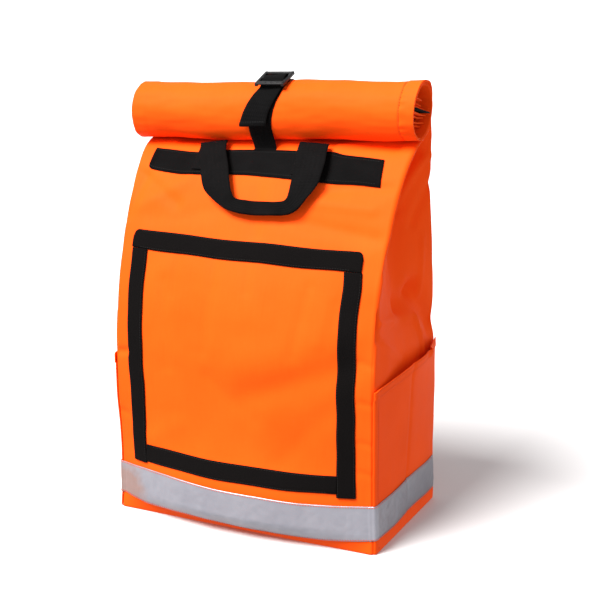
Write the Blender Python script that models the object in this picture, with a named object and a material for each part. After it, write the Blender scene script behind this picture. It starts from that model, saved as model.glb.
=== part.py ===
"""Roll-top backpack: a hollow cloth bag whose mouth is rolled forward and held by one strap.

Metres, +Z up. The front faces -Y, and the origin is the middle of the flat floor.
"""
import functools
import math
from collections import namedtuple

import bpy
from mathutils import Vector

# Main sizes of the bag
WIDTH = 0.390
DEPTH = 0.225
BODY_HEIGHT = 0.570
CORNER_RADIUS = 0.007

# Thicknesses and clearances
CLOTH = 0.0015
WEBBING = 0.0018
TAPE_THICK = 0.0010
SEAT = 0.0005
BULGE_SEAT = 0.0008
ON_BAND = BULGE_SEAT + WEBBING + SEAT

# Widths of the bought-in bands
WEBBING_WIDTH = 0.038
LOWER_STRAP_WIDTH = 0.030
LOOP_TAPE_WIDTH = 0.025
REFLECTIVE_WIDTH = 0.050
ANCHOR_WIDTH = 0.038
SHOULDER_WEBBING_WIDTH = 0.025

# Rolled mouth
ROLL_WIDTH = 0.421
ROLL_SHIFT = 0.000
ROLL_DEPTH = 0.072
ROLL_HEIGHT = 0.080
ROLL_TURNS = 2.75
ROLL_PITCH = 0.0062
ROLL_CLOTH = 0.003
ROLL_TILT = 0.061
STRIP_DROP = 0.004

# Pieces sewn on the front
REFLECTIVE_HEIGHT = 0.020
FRAME_BOTTOM = 0.084
FRAME_TOP = 0.408
FRAME_WIDTH = 0.340
FRAME_SHIFT = 0.003
FRAME_LEAN = -0.007
BAND_BOTTOM = BODY_HEIGHT - 0.080
BAND_TOP = BODY_HEIGHT - 0.052
BAND_WIDTH = 0.348
BAND_SHIFT = -0.005
HANDLE_SPAN = 0.151
HANDLE_SHIFT = -0.015
HANDLE_DROP = 0.068
HANDLE_SWAY = 0.022
HANDLE_STANDOFF = 0.009
LEANING = 0.75
CLOSURE_SHIFT = -0.013
CLOSURE_LEAN = 0.013
TAIL_LEAN = 0.008

# Where the closure meets the roll, in turns round it from its back, over the top
BUCKLE_TURN = 0.298
CLOSURE_MEETS_ROLL = 0.600
TAIL_END = 0.560
STRAP_GAP = 0.012
STRAP_LEAVES_ROLL = 0.050

# Side pockets
POCKET_TOP = 0.240
POCKET_BOTTOM = 0.006
POCKET_GAPE = 0.012

# Buckle on the roll
BUCKLE_WIDTH = 0.047
BUCKLE_LENGTH = 0.026
BUCKLE_THICK = 0.0045
BUCKLE_BAR = 0.0045

# Straps on the back
ANCHOR_HEIGHT = BODY_HEIGHT - 0.130
ANCHOR_LENGTH = 0.270
SHOULDER_SPREAD = 0.095
SHOULDER_WIDTH = 0.062
SHOULDER_PAD = 0.009
SHOULDER_DROP = 0.250
SHOULDER_STANDOFF = 0.042
FOOT_SPREAD = 0.125
FOOT_TOP = 0.045
FOOT_BOTTOM = 0.020
ADJUSTER_LENGTH = 0.024

# Cross-sections of the bag, from the floor up to the end of the neck.
# height: share of BODY_HEIGHT. half: share of WIDTH. front, back, bulge: shares of DEPTH.
# tuck: how far the side's middle crease folds in, share of WIDTH. lift: share of the roll's tilt.
Section = namedtuple("Section", "height half front back bulge tuck lift")
SECTIONS = [
    Section(0.000, 0.498, -0.504, 0.492, 0.045, 0.000, 0.0),
    Section(0.018, 0.502, -0.508, 0.498, 0.125, 0.000, 0.0),
    Section(0.035, 0.503, -0.510, 0.500, 0.160, 0.000, 0.0),
    Section(0.062, 0.503, -0.510, 0.500, 0.172, 0.000, 0.0),
    Section(0.124, 0.502, -0.510, 0.500, 0.168, 0.000, 0.0),
    Section(0.203, 0.502, -0.514, 0.500, 0.125, 0.002, 0.0),
    Section(0.318, 0.503, -0.528, 0.500, 0.090, 0.006, 0.0),
    Section(0.424, 0.503, -0.532, 0.492, 0.080, 0.014, 0.0),
    Section(0.530, 0.502, -0.510, 0.462, 0.072, 0.030, 0.0),
    Section(0.618, 0.502, -0.468, 0.424, 0.062, 0.055, 0.0),
    Section(0.693, 0.505, -0.403, 0.386, 0.052, 0.078, 0.0),
    Section(0.767, 0.508, -0.322, 0.350, 0.040, 0.100, 0.15),
    Section(0.830, 0.512, -0.238, 0.322, 0.028, 0.112, 0.3),
    Section(0.880, 0.517, -0.145, 0.296, 0.018, 0.112, 0.5),
    Section(0.910, 0.522, -0.070, 0.276, 0.010, 0.095, 0.7),
    Section(0.926, 0.525, 0.000, 0.262, 0.004, 0.070, 0.85),
    Section(0.936, 0.528, 0.075, 0.248, 0.000, 0.040, 0.95),
    Section(0.948, 0.530, 0.130, 0.226, 0.000, 0.015, 1.0),
    Section(0.968, 0.530, 0.152, 0.200, 0.000, 0.006, 1.0),
    Section(1.000, 0.530, 0.156, 0.193, 0.000, 0.004, 1.0),
]

# How many flat strips each stretch of a section's outline has
FRONT_STRIPS = 14
SIDE_STRIPS = 8
BACK_STRIPS = 10
CORNER_STRIPS = 2
FRONT_END = FRONT_STRIPS
RIGHT_START = FRONT_END + CORNER_STRIPS
RIGHT_END = RIGHT_START + SIDE_STRIPS
BACK_START = RIGHT_END + CORNER_STRIPS
BACK_END = BACK_START + BACK_STRIPS
LEFT_START = BACK_END + CORNER_STRIPS
LEFT_END = LEFT_START + SIDE_STRIPS
OUTLINE = LEFT_END + CORNER_STRIPS

# The roll from end to end. place: share of ROLL_WIDTH. swell: share of the roll's height.
# sag: how far the roll dips there, share of ROLL_HEIGHT.
RollStation = namedtuple("RollStation", "place swell sag")
ROLL_STATIONS = [
    RollStation(-0.50, -0.02, 0.02),
    RollStation(-0.46, 0.00, 0.01),
    RollStation(-0.34, -0.02, 0.00),
    RollStation(-0.20, 0.02, 0.00),
    RollStation(-0.06, -0.02, 0.03),
    RollStation(0.08, 0.02, 0.02),
    RollStation(0.22, 0.03, 0.00),
    RollStation(0.36, -0.01, 0.00),
    RollStation(0.45, 0.01, 0.00),
    RollStation(0.50, 0.02, 0.00),
]
STEPS_PER_TURN = 20

# One half of the hanging handle, from its fold above the band to the middle of the grip.
# across: share of HANDLE_SPAN. drop: share of HANDLE_DROP below the top of the band.
# sway: share of HANDLE_SWAY, how far the hanging part swings to the right.
# off: share of HANDLE_STANDOFF above the band. half: share of WEBBING_WIDTH.
HandleRow = namedtuple("HandleRow", "across drop sway off half")
HANDLE_ROWS = [
    HandleRow(-0.50, -0.08, 0.00, 0.16, 0.50),
    HandleRow(-0.50, -0.12, 0.00, 0.50, 0.50),
    HandleRow(-0.50, -0.08, 0.00, 0.84, 0.50),
    HandleRow(-0.50, 0.05, 0.10, 1.00, 0.50),
    HandleRow(-0.48, 0.34, 0.62, 1.05, 0.50),
    HandleRow(-0.46, 0.60, 0.90, 1.15, 0.47),
    HandleRow(-0.42, 0.80, 1.00, 1.20, 0.36),
    HandleRow(-0.34, 0.92, 1.00, 1.25, 0.27),
    HandleRow(-0.20, 0.96, 1.00, 1.30, 0.24),
    HandleRow(0.00, 0.97, 1.00, 1.30, 0.24),
]

# A shoulder strap, from the anchor band down to its adjuster.
# drop: share of SHOULDER_DROP. off: share of SHOULDER_STANDOFF. out: share of SHOULDER_SPREAD.
ShoulderRow = namedtuple("ShoulderRow", "drop off out")
SHOULDER_ROWS = [
    ShoulderRow(0.00, 0.00, 0.68),
    ShoulderRow(0.06, 0.05, 0.72),
    ShoulderRow(0.14, 0.30, 0.80),
    ShoulderRow(0.26, 0.66, 0.90),
    ShoulderRow(0.42, 0.92, 0.98),
    ShoulderRow(0.60, 1.00, 1.02),
    ShoulderRow(0.80, 0.90, 1.04),
    ShoulderRow(1.00, 0.68, 1.06),
]


def clear_scene():
    for old in list(bpy.data.objects):
        bpy.data.objects.remove(old, do_unlink=True)


def mix(low, high, share):
    return low + (high - low) * share


def material(name, colour, roughness, metallic=0.0):
    made = bpy.data.materials.new(name)
    made.use_nodes = True
    shader = made.node_tree.nodes["Principled BSDF"]
    shader.inputs["Base Color"].default_value = (*colour, 1.0)
    shader.inputs["Roughness"].default_value = roughness
    shader.inputs["Metallic"].default_value = metallic
    return made


def weave(rows, closed):
    """Points and faces of rows of points: two triangles a place, all split the same way."""
    width = len(rows[0])
    faces = []
    for row in range(len(rows) - 1):
        for span in range(width if closed else width - 1):
            low = row * width + span
            low_next = row * width + (span + 1) % width
            faces.append((low, low_next, low_next + width))
            faces.append((low, low_next + width, low + width))
    return [point for row in rows for point in row], faces


def sheet(name, rows, thickness, finish, side=1.0):
    """A cloth piece: rows of points become a surface, thickened towards its faces' side."""
    points, faces = weave(rows, False)
    return thickened(name, points, faces, thickness, finish, side)


def thickened(name, points, faces, thickness, finish, side):
    """A surface given a wall: side is 1 outwards, -1 inwards and 0 both ways."""
    mesh = bpy.data.meshes.new(name)
    mesh.from_pydata(points, [], faces)
    mesh.materials.append(finish)
    made = bpy.data.objects.new(name, mesh)
    bpy.context.collection.objects.link(made)
    solid = made.modifiers.new("Wall", "SOLIDIFY")
    solid.thickness = thickness
    solid.offset = side
    solid.use_even_offset = True
    solid.use_quality_normals = True
    return made


def sections_around(height):
    """The two rows of the table around a height in metres, and the share of the way up."""
    share = height / BODY_HEIGHT
    for low, high in zip(SECTIONS, SECTIONS[1:]):
        if share <= high.height:
            break
    return low, high, (share - low.height) / (high.height - low.height)


def half_flat(height):
    """Half the width of the front and back between their rounded corners."""
    low, high, part = sections_around(height)
    return mix(low.half, high.half, part) * WIDTH - CORNER_RADIUS


def front_bulge(across):
    """Forward bulge of the front panel, 0 at its edges and 1 in the middle."""
    return math.cos(0.5 * math.pi * across) ** 0.9 if abs(across) < 1.0 else 0.0


def outline(section):
    """The bag's outer outline at a section, counter-clockwise from the front left corner."""
    half = section.half * WIDTH
    front = section.front * DEPTH
    back = section.back * DEPTH
    radius = min(CORNER_RADIUS, 0.3 * (back - front))
    flat = half - radius
    tuck = section.tuck * WIDTH
    bulge = section.bulge * DEPTH
    points = []
    for step in range(FRONT_STRIPS):
        across = 2.0 * step / FRONT_STRIPS - 1.0
        points.append((flat * across, front - bulge * front_bulge(across)))
    points += corner(flat, front + radius, radius, -90.0)
    points += side_wall(half, front + radius, back - radius, tuck)
    points += corner(flat, back - radius, radius, 0.0)
    for step in range(BACK_STRIPS):
        points.append((flat * (1.0 - 2.0 * step / BACK_STRIPS), back))
    points += corner(-flat, back - radius, radius, 90.0)
    points += side_wall(-half, back - radius, front + radius, tuck)
    points += corner(-flat, front + radius, radius, 180.0)
    return points


def corner(x, y, radius, start):
    """A quarter turn of the outline without its last point."""
    turns = [math.radians(start + 90.0 * step / CORNER_STRIPS) for step in range(CORNER_STRIPS)]
    return [(x + radius * math.cos(turn), y + radius * math.sin(turn)) for turn in turns]


def side_wall(x, start, end, tuck):
    """A side of the outline, folded in along its middle, without its last point."""
    points = []
    for step in range(SIDE_STRIPS):
        share = step / SIDE_STRIPS
        fold = 1.0 - abs(2.0 * share - 1.0)
        points.append((x - math.copysign(tuck * fold, x), mix(start, end, share)))
    return points


def tilt(x, height, lift):
    return height + lift * ROLL_TILT * x


@functools.lru_cache(maxsize=None)
def ring(section):
    """The points of the bag's wall at one row of the table."""
    height = section.height * BODY_HEIGHT
    return [Vector((x, y, tilt(x, height, section.lift))) for x, y in outline(section)]


def skin_point(station, height):
    """A point on the bag's outer triangles: station counts the outline's strips."""
    low, high, up = sections_around(height)
    first = math.floor(station)
    along = station - first
    low_here, low_next = (ring(low)[(first + step) % OUTLINE] for step in (0, 1))
    high_here, high_next = (ring(high)[(first + step) % OUTLINE] for step in (0, 1))
    if up < along:
        return low_here + (low_next - low_here) * along + (high_next - low_next) * up
    return low_here + (high_here - low_here) * up + (high_next - high_here) * along


def skin(station, height, out):
    """A point held clear of the outer wall by the distance out."""
    step = 0.4
    rise = 0.004
    along = skin_point(station + step, height) - skin_point(station - step, height)
    up = skin_point(station, height + rise) - skin_point(station, height - rise)
    return skin_point(station, height) + along.cross(up).normalized() * out


def front_station(x, height):
    """The outline station of a place on the front panel."""
    return FRONT_STRIPS * (x / half_flat(height) + 1.0) / 2.0


def back_station(x, height):
    """The outline station of a place on the back panel."""
    return BACK_START + BACK_STRIPS * (1.0 - x / half_flat(height)) / 2.0


def on_front(x, height, out):
    return skin(front_station(x, height), height, out)


def on_back(x, height, out):
    return skin(back_station(x, height), height, out)


def steps(low, high, count):
    return [mix(low, high, step / count) for step in range(count + 1)]


def climb(low, high):
    """Heights from low to high, with every section of the bag between them."""
    heights = [section.height * BODY_HEIGHT for section in SECTIONS]
    return [low] + [height for height in heights if low + SEAT < height < high - SEAT] + [high]


def around(first, last):
    """Outline stations from first to last, with every corner of the outline between them."""
    between = range(math.floor(first) + 1, math.ceil(last))
    return [first] + [place for place in between] + [last]


def bag_body(cloth):
    """Floor, front, back, folded sides and flat neck in one hollow wall, open at the neck."""
    points, faces = weave([ring(section) for section in SECTIONS], True)
    faces.append(tuple(reversed(range(OUTLINE))))
    return thickened("bag_body", points, faces, CLOTH, cloth, -1.0)


def neck_middle():
    """Where the neck's middle layer ends, as depth and height at the middle of the bag."""
    top = SECTIONS[-1]
    return 0.5 * (top.front + top.back) * DEPTH, BODY_HEIGHT


def roll_centre():
    neck_depth, neck_height = neck_middle()
    return neck_depth - 0.5 * ROLL_DEPTH, neck_height + SEAT


def roll_point(place, turn, out, swell=0.0, sag=0.0):
    """A point of the roll's cloth: turn counts whole turns from the neck, over the top."""
    depth, height = roll_centre()
    shrink = ROLL_PITCH * max(turn, 0.0)
    angle = 2.0 * math.pi * turn
    wide = 0.5 * ROLL_DEPTH - shrink + out
    tall = 0.5 * ROLL_HEIGHT * (1.0 + swell * math.sin(angle) ** 2) - shrink + out
    x = ROLL_SHIFT + place
    y = depth + wide * math.cos(angle)
    z = height + tall * math.sin(angle) - sag * ROLL_HEIGHT * math.sin(0.5 * angle) ** 2
    return Vector((x, y, z + ROLL_TILT * x))


def rolled_mouth(cloth):
    """The doubled cloth of the mouth, wound forward and down, with its end inside."""
    turns = steps(0.0, ROLL_TURNS, int(STEPS_PER_TURN * ROLL_TURNS))
    rows = []
    for turn in turns:
        rows.append([
            roll_point(spot.place * ROLL_WIDTH, turn, 0.0, spot.swell, spot.sag)
            for spot in ROLL_STATIONS
        ])
    return sheet("rolled_mouth", rows, ROLL_CLOTH, cloth, side=0.0)


def mouth_strip(webbing):
    """The stiff strip that the mouth is rolled round, just inside the last turn."""
    inside = 0.5 * ROLL_CLOTH + 2.0 * SEAT
    front = roll_point(0.0, ROLL_TURNS - 0.20, 0.0).y + inside
    back = roll_point(0.0, ROLL_TURNS - 0.75, 0.0).y - inside
    rows = []
    for place in (-0.5 * ROLL_WIDTH, 0.5 * ROLL_WIDTH):
        x = ROLL_SHIFT + place
        height = roll_centre()[1] - STRIP_DROP + ROLL_TILT * x
        rows.append([Vector((x, y, height)) for y in (front, back)])
    return sheet("mouth_strip", rows, WEBBING, webbing, side=0.0)


def pocket_gape(share, height):
    """How far a side pocket stands off the side, widest at its top and behind its middle."""
    rise = max(height - POCKET_BOTTOM, 0.0) / (POCKET_TOP - POCKET_BOTTOM)
    return POCKET_GAPE * math.sin(math.pi * share ** 1.2) * rise ** 1.6


def side_pocket(name, start, mirrored, cloth):
    """One open-topped pocket over a side, from corner to corner."""
    rows = []
    for height in climb(POCKET_BOTTOM, POCKET_TOP):
        row = []
        for share in steps(0.01, 0.99, SIDE_STRIPS):
            place = 1.0 - share if mirrored else share
            out = SEAT + pocket_gape(share, height)
            row.append(skin(start + SIDE_STRIPS * place, height, out))
        rows.append(list(reversed(row)) if mirrored else row)
    return sheet(name, rows, CLOTH, cloth)


def reflective_tape(finish):
    """The reflecting band across the front and over both side pockets."""
    stations = [LEFT_START - OUTLINE + 0.15]
    stations += range(LEFT_START - OUTLINE + 1, RIGHT_END)
    stations += [RIGHT_END - 0.15]
    rows = []
    for height in climb(REFLECTIVE_HEIGHT, REFLECTIVE_HEIGHT + REFLECTIVE_WIDTH):
        row = []
        for station in stations:
            right = (station - RIGHT_START) / SIDE_STRIPS
            left = (LEFT_END - OUTLINE - station) / SIDE_STRIPS
            share = max(right, left)
            out = BULGE_SEAT
            if share > -0.5 / SIDE_STRIPS:
                out += CLOTH + SEAT + pocket_gape(min(max(share, 0.0), 1.0), height)
            row.append(skin(station, height, out))
        rows.append(row)
    return sheet("reflective_tape", rows, TAPE_THICK, finish)


def frame_x(x, height):
    """Sideways place on the loop frame, which leans a little with the cloth."""
    rise = (height - FRAME_BOTTOM) / (FRAME_TOP - FRAME_BOTTOM)
    return x + FRAME_SHIFT + FRAME_LEAN * rise


def upright_strip(name, outer, inner, finish):
    bottom = FRAME_BOTTOM + LOOP_TAPE_WIDTH + SEAT
    top = FRAME_TOP - LOOP_TAPE_WIDTH - SEAT
    rows = []
    for height in climb(bottom, top):
        rows.append([
            on_front(frame_x(x, height), height, BULGE_SEAT) for x in (outer, inner)
        ])
    return sheet(name, rows, WEBBING, finish)


def level_strip(name, bottom, half, finish):
    ends = [front_station(frame_x(x, bottom), bottom) for x in (-half, half)]
    rows = []
    for height in climb(bottom, bottom + LOOP_TAPE_WIDTH):
        rows.append([skin(station, height, BULGE_SEAT) for station in around(*ends)])
    return sheet(name, rows, WEBBING, finish)


def loop_frame(finish):
    """Four strips of loop tape sewn in a rectangle on the front."""
    half = 0.5 * FRAME_WIDTH
    level_strip("loop_strip_bottom", FRAME_BOTTOM, half, finish)
    level_strip("loop_strip_top", FRAME_TOP - LOOP_TAPE_WIDTH, half, finish)
    upright_strip("loop_strip_left", -half, LOOP_TAPE_WIDTH - half, finish)
    upright_strip("loop_strip_right", half - LOOP_TAPE_WIDTH, half, finish)


def front_band(webbing):
    """The webbing band sewn across the front under the roll."""
    half = 0.5 * BAND_WIDTH
    ends = [front_station(x + BAND_SHIFT, BAND_BOTTOM) for x in (-half, half)]
    rows = []
    for height in climb(BAND_BOTTOM, BAND_TOP):
        rows.append([skin(station, height, BULGE_SEAT) for station in around(*ends)])
    return sheet("front_band", rows, WEBBING, webbing)


def handle_row(row, mirror):
    """One row of the hanging part: sideways place, height, distance out and half width."""
    x = mirror * row.across * HANDLE_SPAN + HANDLE_SHIFT + row.sway * HANDLE_SWAY
    height = BAND_TOP - row.drop * HANDLE_DROP
    out = ON_BAND + row.off * HANDLE_STANDOFF
    return x, height, out, row.half * WEBBING_WIDTH


def handle_foot(mirror):
    """The rows of one leg that are sewn on the band, from the bottom up."""
    x = mirror * HANDLE_ROWS[0].across * HANDLE_SPAN + HANDLE_SHIFT
    heights = climb(BAND_BOTTOM + SEAT, BAND_TOP)
    return [(x, height, ON_BAND, 0.5 * WEBBING_WIDTH) for height in heights]


def carry_handle(webbing):
    """The hanging handle: both legs fold over above the band, and the grip is folded narrow."""
    path = handle_foot(1.0) + [handle_row(row, 1.0) for row in HANDLE_ROWS]
    path += [handle_row(row, -1.0) for row in reversed(HANDLE_ROWS[:-1])]
    path += reversed(handle_foot(-1.0))
    rows = []
    for step, (x, height, out, wide) in enumerate(path):
        before = path[max(step - 1, 0)]
        after = path[min(step + 1, len(path) - 1)]
        run = Vector((after[0] - before[0], after[1] - before[1]))
        upright = abs(run.x) < LEANING * abs(run.y) or abs(run.x) < SEAT
        across = Vector((-run.y, run.x)).normalized()
        if upright:
            across = Vector((1.0 if step < len(path) // 2 else -1.0, 0.0))
        rows.append([
            on_front(x - across.x * wide, height - across.y * wide, out),
            on_front(x + across.x * wide, height + across.y * wide, out),
        ])
    return sheet("carry_handle", rows, WEBBING, webbing)


def over_roll(x, turn, out):
    """A point held clear of the roll's outer cloth, at a sideways place of the bag."""
    share = (x - ROLL_SHIFT) / ROLL_WIDTH
    for low, high in zip(ROLL_STATIONS, ROLL_STATIONS[1:]):
        if share <= high.place:
            break
    part = (share - low.place) / (high.place - low.place)
    swell = mix(low.swell, high.swell, part)
    sag = mix(low.sag, high.sag, part)
    return roll_point(x - ROLL_SHIFT, turn, 0.5 * ROLL_CLOTH + out, swell, sag)


def closure_edges(width, turn):
    """Both edges of the closure strap, which leans to the right on its way up the roll."""
    climbed = (CLOSURE_MEETS_ROLL - turn) / (CLOSURE_MEETS_ROLL - BUCKLE_TURN)
    middle = CLOSURE_SHIFT + CLOSURE_LEAN * min(climbed, 1.0)
    return (middle - 0.5 * width, middle + 0.5 * width)


def closure_strap_front(webbing):
    """The strap from the front band up the roll to the buckle."""
    edges = closure_edges(LOWER_STRAP_WIDTH, CLOSURE_MEETS_ROLL)
    heights = climb(BAND_BOTTOM + SEAT, BAND_TOP)
    rows = [[on_front(x, height, ON_BAND) for x in edges] for height in heights]
    for turn in steps(CLOSURE_MEETS_ROLL, BUCKLE_TURN, 12):
        rows.append([over_roll(x, turn, SEAT) for x in closure_edges(LOWER_STRAP_WIDTH, turn)])
    return sheet("closure_strap_front", rows, WEBBING, webbing)


def closure_tail(webbing):
    """The loose end that hangs from the buckle over the strap, a little askew."""
    rows = []
    for turn in steps(TAIL_END, BUCKLE_TURN, 12):
        askew = TAIL_LEAN * (turn - BUCKLE_TURN) / (TAIL_END - BUCKLE_TURN)
        edges = closure_edges(WEBBING_WIDTH, turn)
        rows.append([over_roll(x - askew, turn, ON_BAND) for x in edges])
    return sheet("closure_tail", rows, WEBBING, webbing)


def closure_strap_back(webbing):
    """The strap from the buckle over the roll and down the neck to the back's anchor band."""
    edges = closure_edges(WEBBING_WIDTH, BUCKLE_TURN)
    turns = steps(BUCKLE_TURN - STRAP_GAP, STRAP_LEAVES_ROLL, 8)
    rows = [[over_roll(x, turn, SEAT) for x in edges] for turn in turns]
    heights = climb(ANCHOR_HEIGHT + ANCHOR_WIDTH + SEAT, BODY_HEIGHT - WEBBING)
    for height in reversed(heights):
        rows.append([on_back(x, height, BULGE_SEAT) for x in edges])
    return sheet("closure_strap_back", rows, WEBBING, webbing)


def plate(name, middle, along, across, length, width, finish):
    """A moulded three-bar buckle: a flat plate with two slots. across x along points out."""
    slot = 0.5 * (length - 3.0 * BUCKLE_BAR)
    cuts = [-0.5 * length]
    for size in (BUCKLE_BAR, slot, BUCKLE_BAR, slot, BUCKLE_BAR):
        cuts.append(cuts[-1] + size)
    inner = 0.5 * width - BUCKLE_BAR
    sides = (-0.5 * width, -inner, inner, 0.5 * width)
    along = along.normalized()
    across = across.normalized()
    points = [middle + along * u + across * v for u in cuts for v in sides]
    faces = []
    for row in range(len(cuts) - 1):
        for column in range(len(sides) - 1):
            open_slot = column == 1 and row % 2 == 1
            if not open_slot:
                low = row * len(sides) + column
                faces.append((low, low + 1, low + 1 + len(sides), low + len(sides)))
    return thickened(name, points, faces, BUCKLE_THICK, finish, 1.0)


def strap_buckle(plastic):
    """The three-bar buckle on the roll's top front, over the straps that meet there."""
    stack = ON_BAND + WEBBING + 2.0 * SEAT
    turns = (BUCKLE_TURN + STRAP_GAP, BUCKLE_TURN, BUCKLE_TURN - STRAP_GAP)
    spot = CLOSURE_SHIFT + CLOSURE_LEAN
    below, middle, above = (over_roll(spot, turn, stack) for turn in turns)
    ahead = above - below
    across = Vector((1.0, 0.0, ROLL_TILT))
    return plate("strap_buckle", middle, ahead, across, BUCKLE_LENGTH, BUCKLE_WIDTH, plastic)


def back_anchor(webbing):
    """The webbing band across the back that carries the shoulder straps."""
    half = 0.5 * ANCHOR_LENGTH
    rows = []
    for height in climb(ANCHOR_HEIGHT, ANCHOR_HEIGHT + ANCHOR_WIDTH):
        rows.append([on_back(x, height, SEAT) for x in steps(half, -half, 8)])
    return sheet("back_anchor", rows, WEBBING, webbing)


def shoulder_point(row, mirror, x_off):
    height = ANCHOR_HEIGHT + 0.5 * ANCHOR_WIDTH - row.drop * SHOULDER_DROP
    x = mirror * row.out * SHOULDER_SPREAD
    out = ON_BAND + row.off * SHOULDER_STANDOFF
    base = on_back(x, height, 0.0)
    return Vector((x + x_off, base.y + out, base.z))


def shoulder_strap(side, mirror, fabric, webbing, plastic):
    """A padded strap, its adjuster, and the webbing down to the foot of the bag."""
    half = 0.5 * SHOULDER_WIDTH
    rows = []
    for row in SHOULDER_ROWS:
        rows.append([shoulder_point(row, mirror, x) for x in (-half, 0.0, half)])
    sheet(f"shoulder_pad_{side}", rows, SHOULDER_PAD, fabric)
    end = shoulder_point(SHOULDER_ROWS[-1], mirror, 0.0)
    before = shoulder_point(SHOULDER_ROWS[-2], mirror, 0.0)
    run = (end - before).normalized()
    across = Vector((1.0, 0.0, 0.0))
    middle = end + run * (0.5 * ADJUSTER_LENGTH + SEAT)
    width = SHOULDER_WEBBING_WIDTH + 2.0 * BUCKLE_BAR
    plate(f"strap_adjuster_{side}", middle, run, across, ADJUSTER_LENGTH, width, plastic)
    web_half = 0.5 * SHOULDER_WEBBING_WIDTH
    top = middle + run * (0.5 * ADJUSTER_LENGTH + SEAT)
    sewn = [on_back(mirror * FOOT_SPREAD, height, SEAT) for height in (FOOT_TOP, FOOT_BOTTOM)]
    web = [mix(top, sewn[0], share) for share in steps(0.0, 0.8, 3)] + sewn
    rows = [[point + Vector((x, 0.0, 0.0)) for x in (-web_half, web_half)] for point in web]
    sheet(f"shoulder_webbing_{side}", rows, WEBBING, webbing)


def build():
    clear_scene()
    cloth = material("orange_cloth", (1.0, 0.22, 0.02), 0.7)
    pocket_cloth = material("pocket_cloth", (0.95, 0.19, 0.02), 0.7)
    webbing = material("black_webbing", (0.012, 0.012, 0.013), 0.75)
    loop_tape = material("black_loop_tape", (0.006, 0.006, 0.006), 0.95)
    silver = material("reflective_silver", (0.55, 0.55, 0.60), 0.35, 0.3)
    plastic = material("black_plastic", (0.015, 0.015, 0.016), 0.4)
    bag_body(cloth)
    rolled_mouth(cloth)
    mouth_strip(webbing)
    side_pocket("side_pocket_right", RIGHT_START, False, pocket_cloth)
    side_pocket("side_pocket_left", LEFT_START, True, pocket_cloth)
    reflective_tape(silver)
    loop_frame(loop_tape)
    front_band(webbing)
    carry_handle(webbing)
    closure_strap_front(webbing)
    closure_tail(webbing)
    closure_strap_back(webbing)
    strap_buckle(plastic)
    back_anchor(webbing)
    for side, mirror in (("right", 1.0), ("left", -1.0)):
        shoulder_strap(side, mirror, cloth, webbing, plastic)


build()
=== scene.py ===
"""Looks of the roll-top backpack: cloth, webbing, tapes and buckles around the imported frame."""
import math
from collections import namedtuple

import bmesh
import bpy
import numpy as np
from mathutils import Matrix, Vector, noise


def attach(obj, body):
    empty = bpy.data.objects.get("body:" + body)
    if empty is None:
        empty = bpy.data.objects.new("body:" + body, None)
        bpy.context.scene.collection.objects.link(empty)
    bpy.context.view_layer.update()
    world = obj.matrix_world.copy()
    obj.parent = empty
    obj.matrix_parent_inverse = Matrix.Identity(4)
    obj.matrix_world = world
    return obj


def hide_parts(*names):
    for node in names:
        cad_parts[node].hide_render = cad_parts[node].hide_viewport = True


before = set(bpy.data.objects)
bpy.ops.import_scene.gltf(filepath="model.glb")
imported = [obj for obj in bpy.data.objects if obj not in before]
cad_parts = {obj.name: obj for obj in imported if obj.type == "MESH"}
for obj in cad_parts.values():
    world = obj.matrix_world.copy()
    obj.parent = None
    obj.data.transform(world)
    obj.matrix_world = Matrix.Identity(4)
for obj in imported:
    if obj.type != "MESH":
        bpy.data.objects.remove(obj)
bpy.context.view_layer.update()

# Camera, fitted to the photograph: place in metres, angles in degrees, focal length in pixels
CAMERA_AZIMUTH = 26.17
CAMERA_DISTANCE = 2.0068
CAMERA_HEIGHT = 0.8563
CAMERA_YAW = 25.29
CAMERA_PITCH = -15.39
FOCAL_PIXELS = 1476.2
PICTURE_PIXELS = 600
SENSOR_MM = 36.0

# Main sizes of the bag, in metres, as the solids have them but for the lower strap's width
MILLIMETRE = 0.001
WIDTH = 0.390
DEPTH = 0.225
BODY_HEIGHT = 0.570
CORNER_RADIUS = 0.007
CLOTH = 0.0015
WEBBING = 0.0018
SEAT = 0.0005
WEBBING_WIDTH = 0.038
LOWER_STRAP_WIDTH = 0.034
LOOP_TAPE_WIDTH = 0.025

ROLL_WIDTH = 0.421
ROLL_DEPTH = 0.072
ROLL_HEIGHT = 0.080
ROLL_TILT = 0.061

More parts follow.
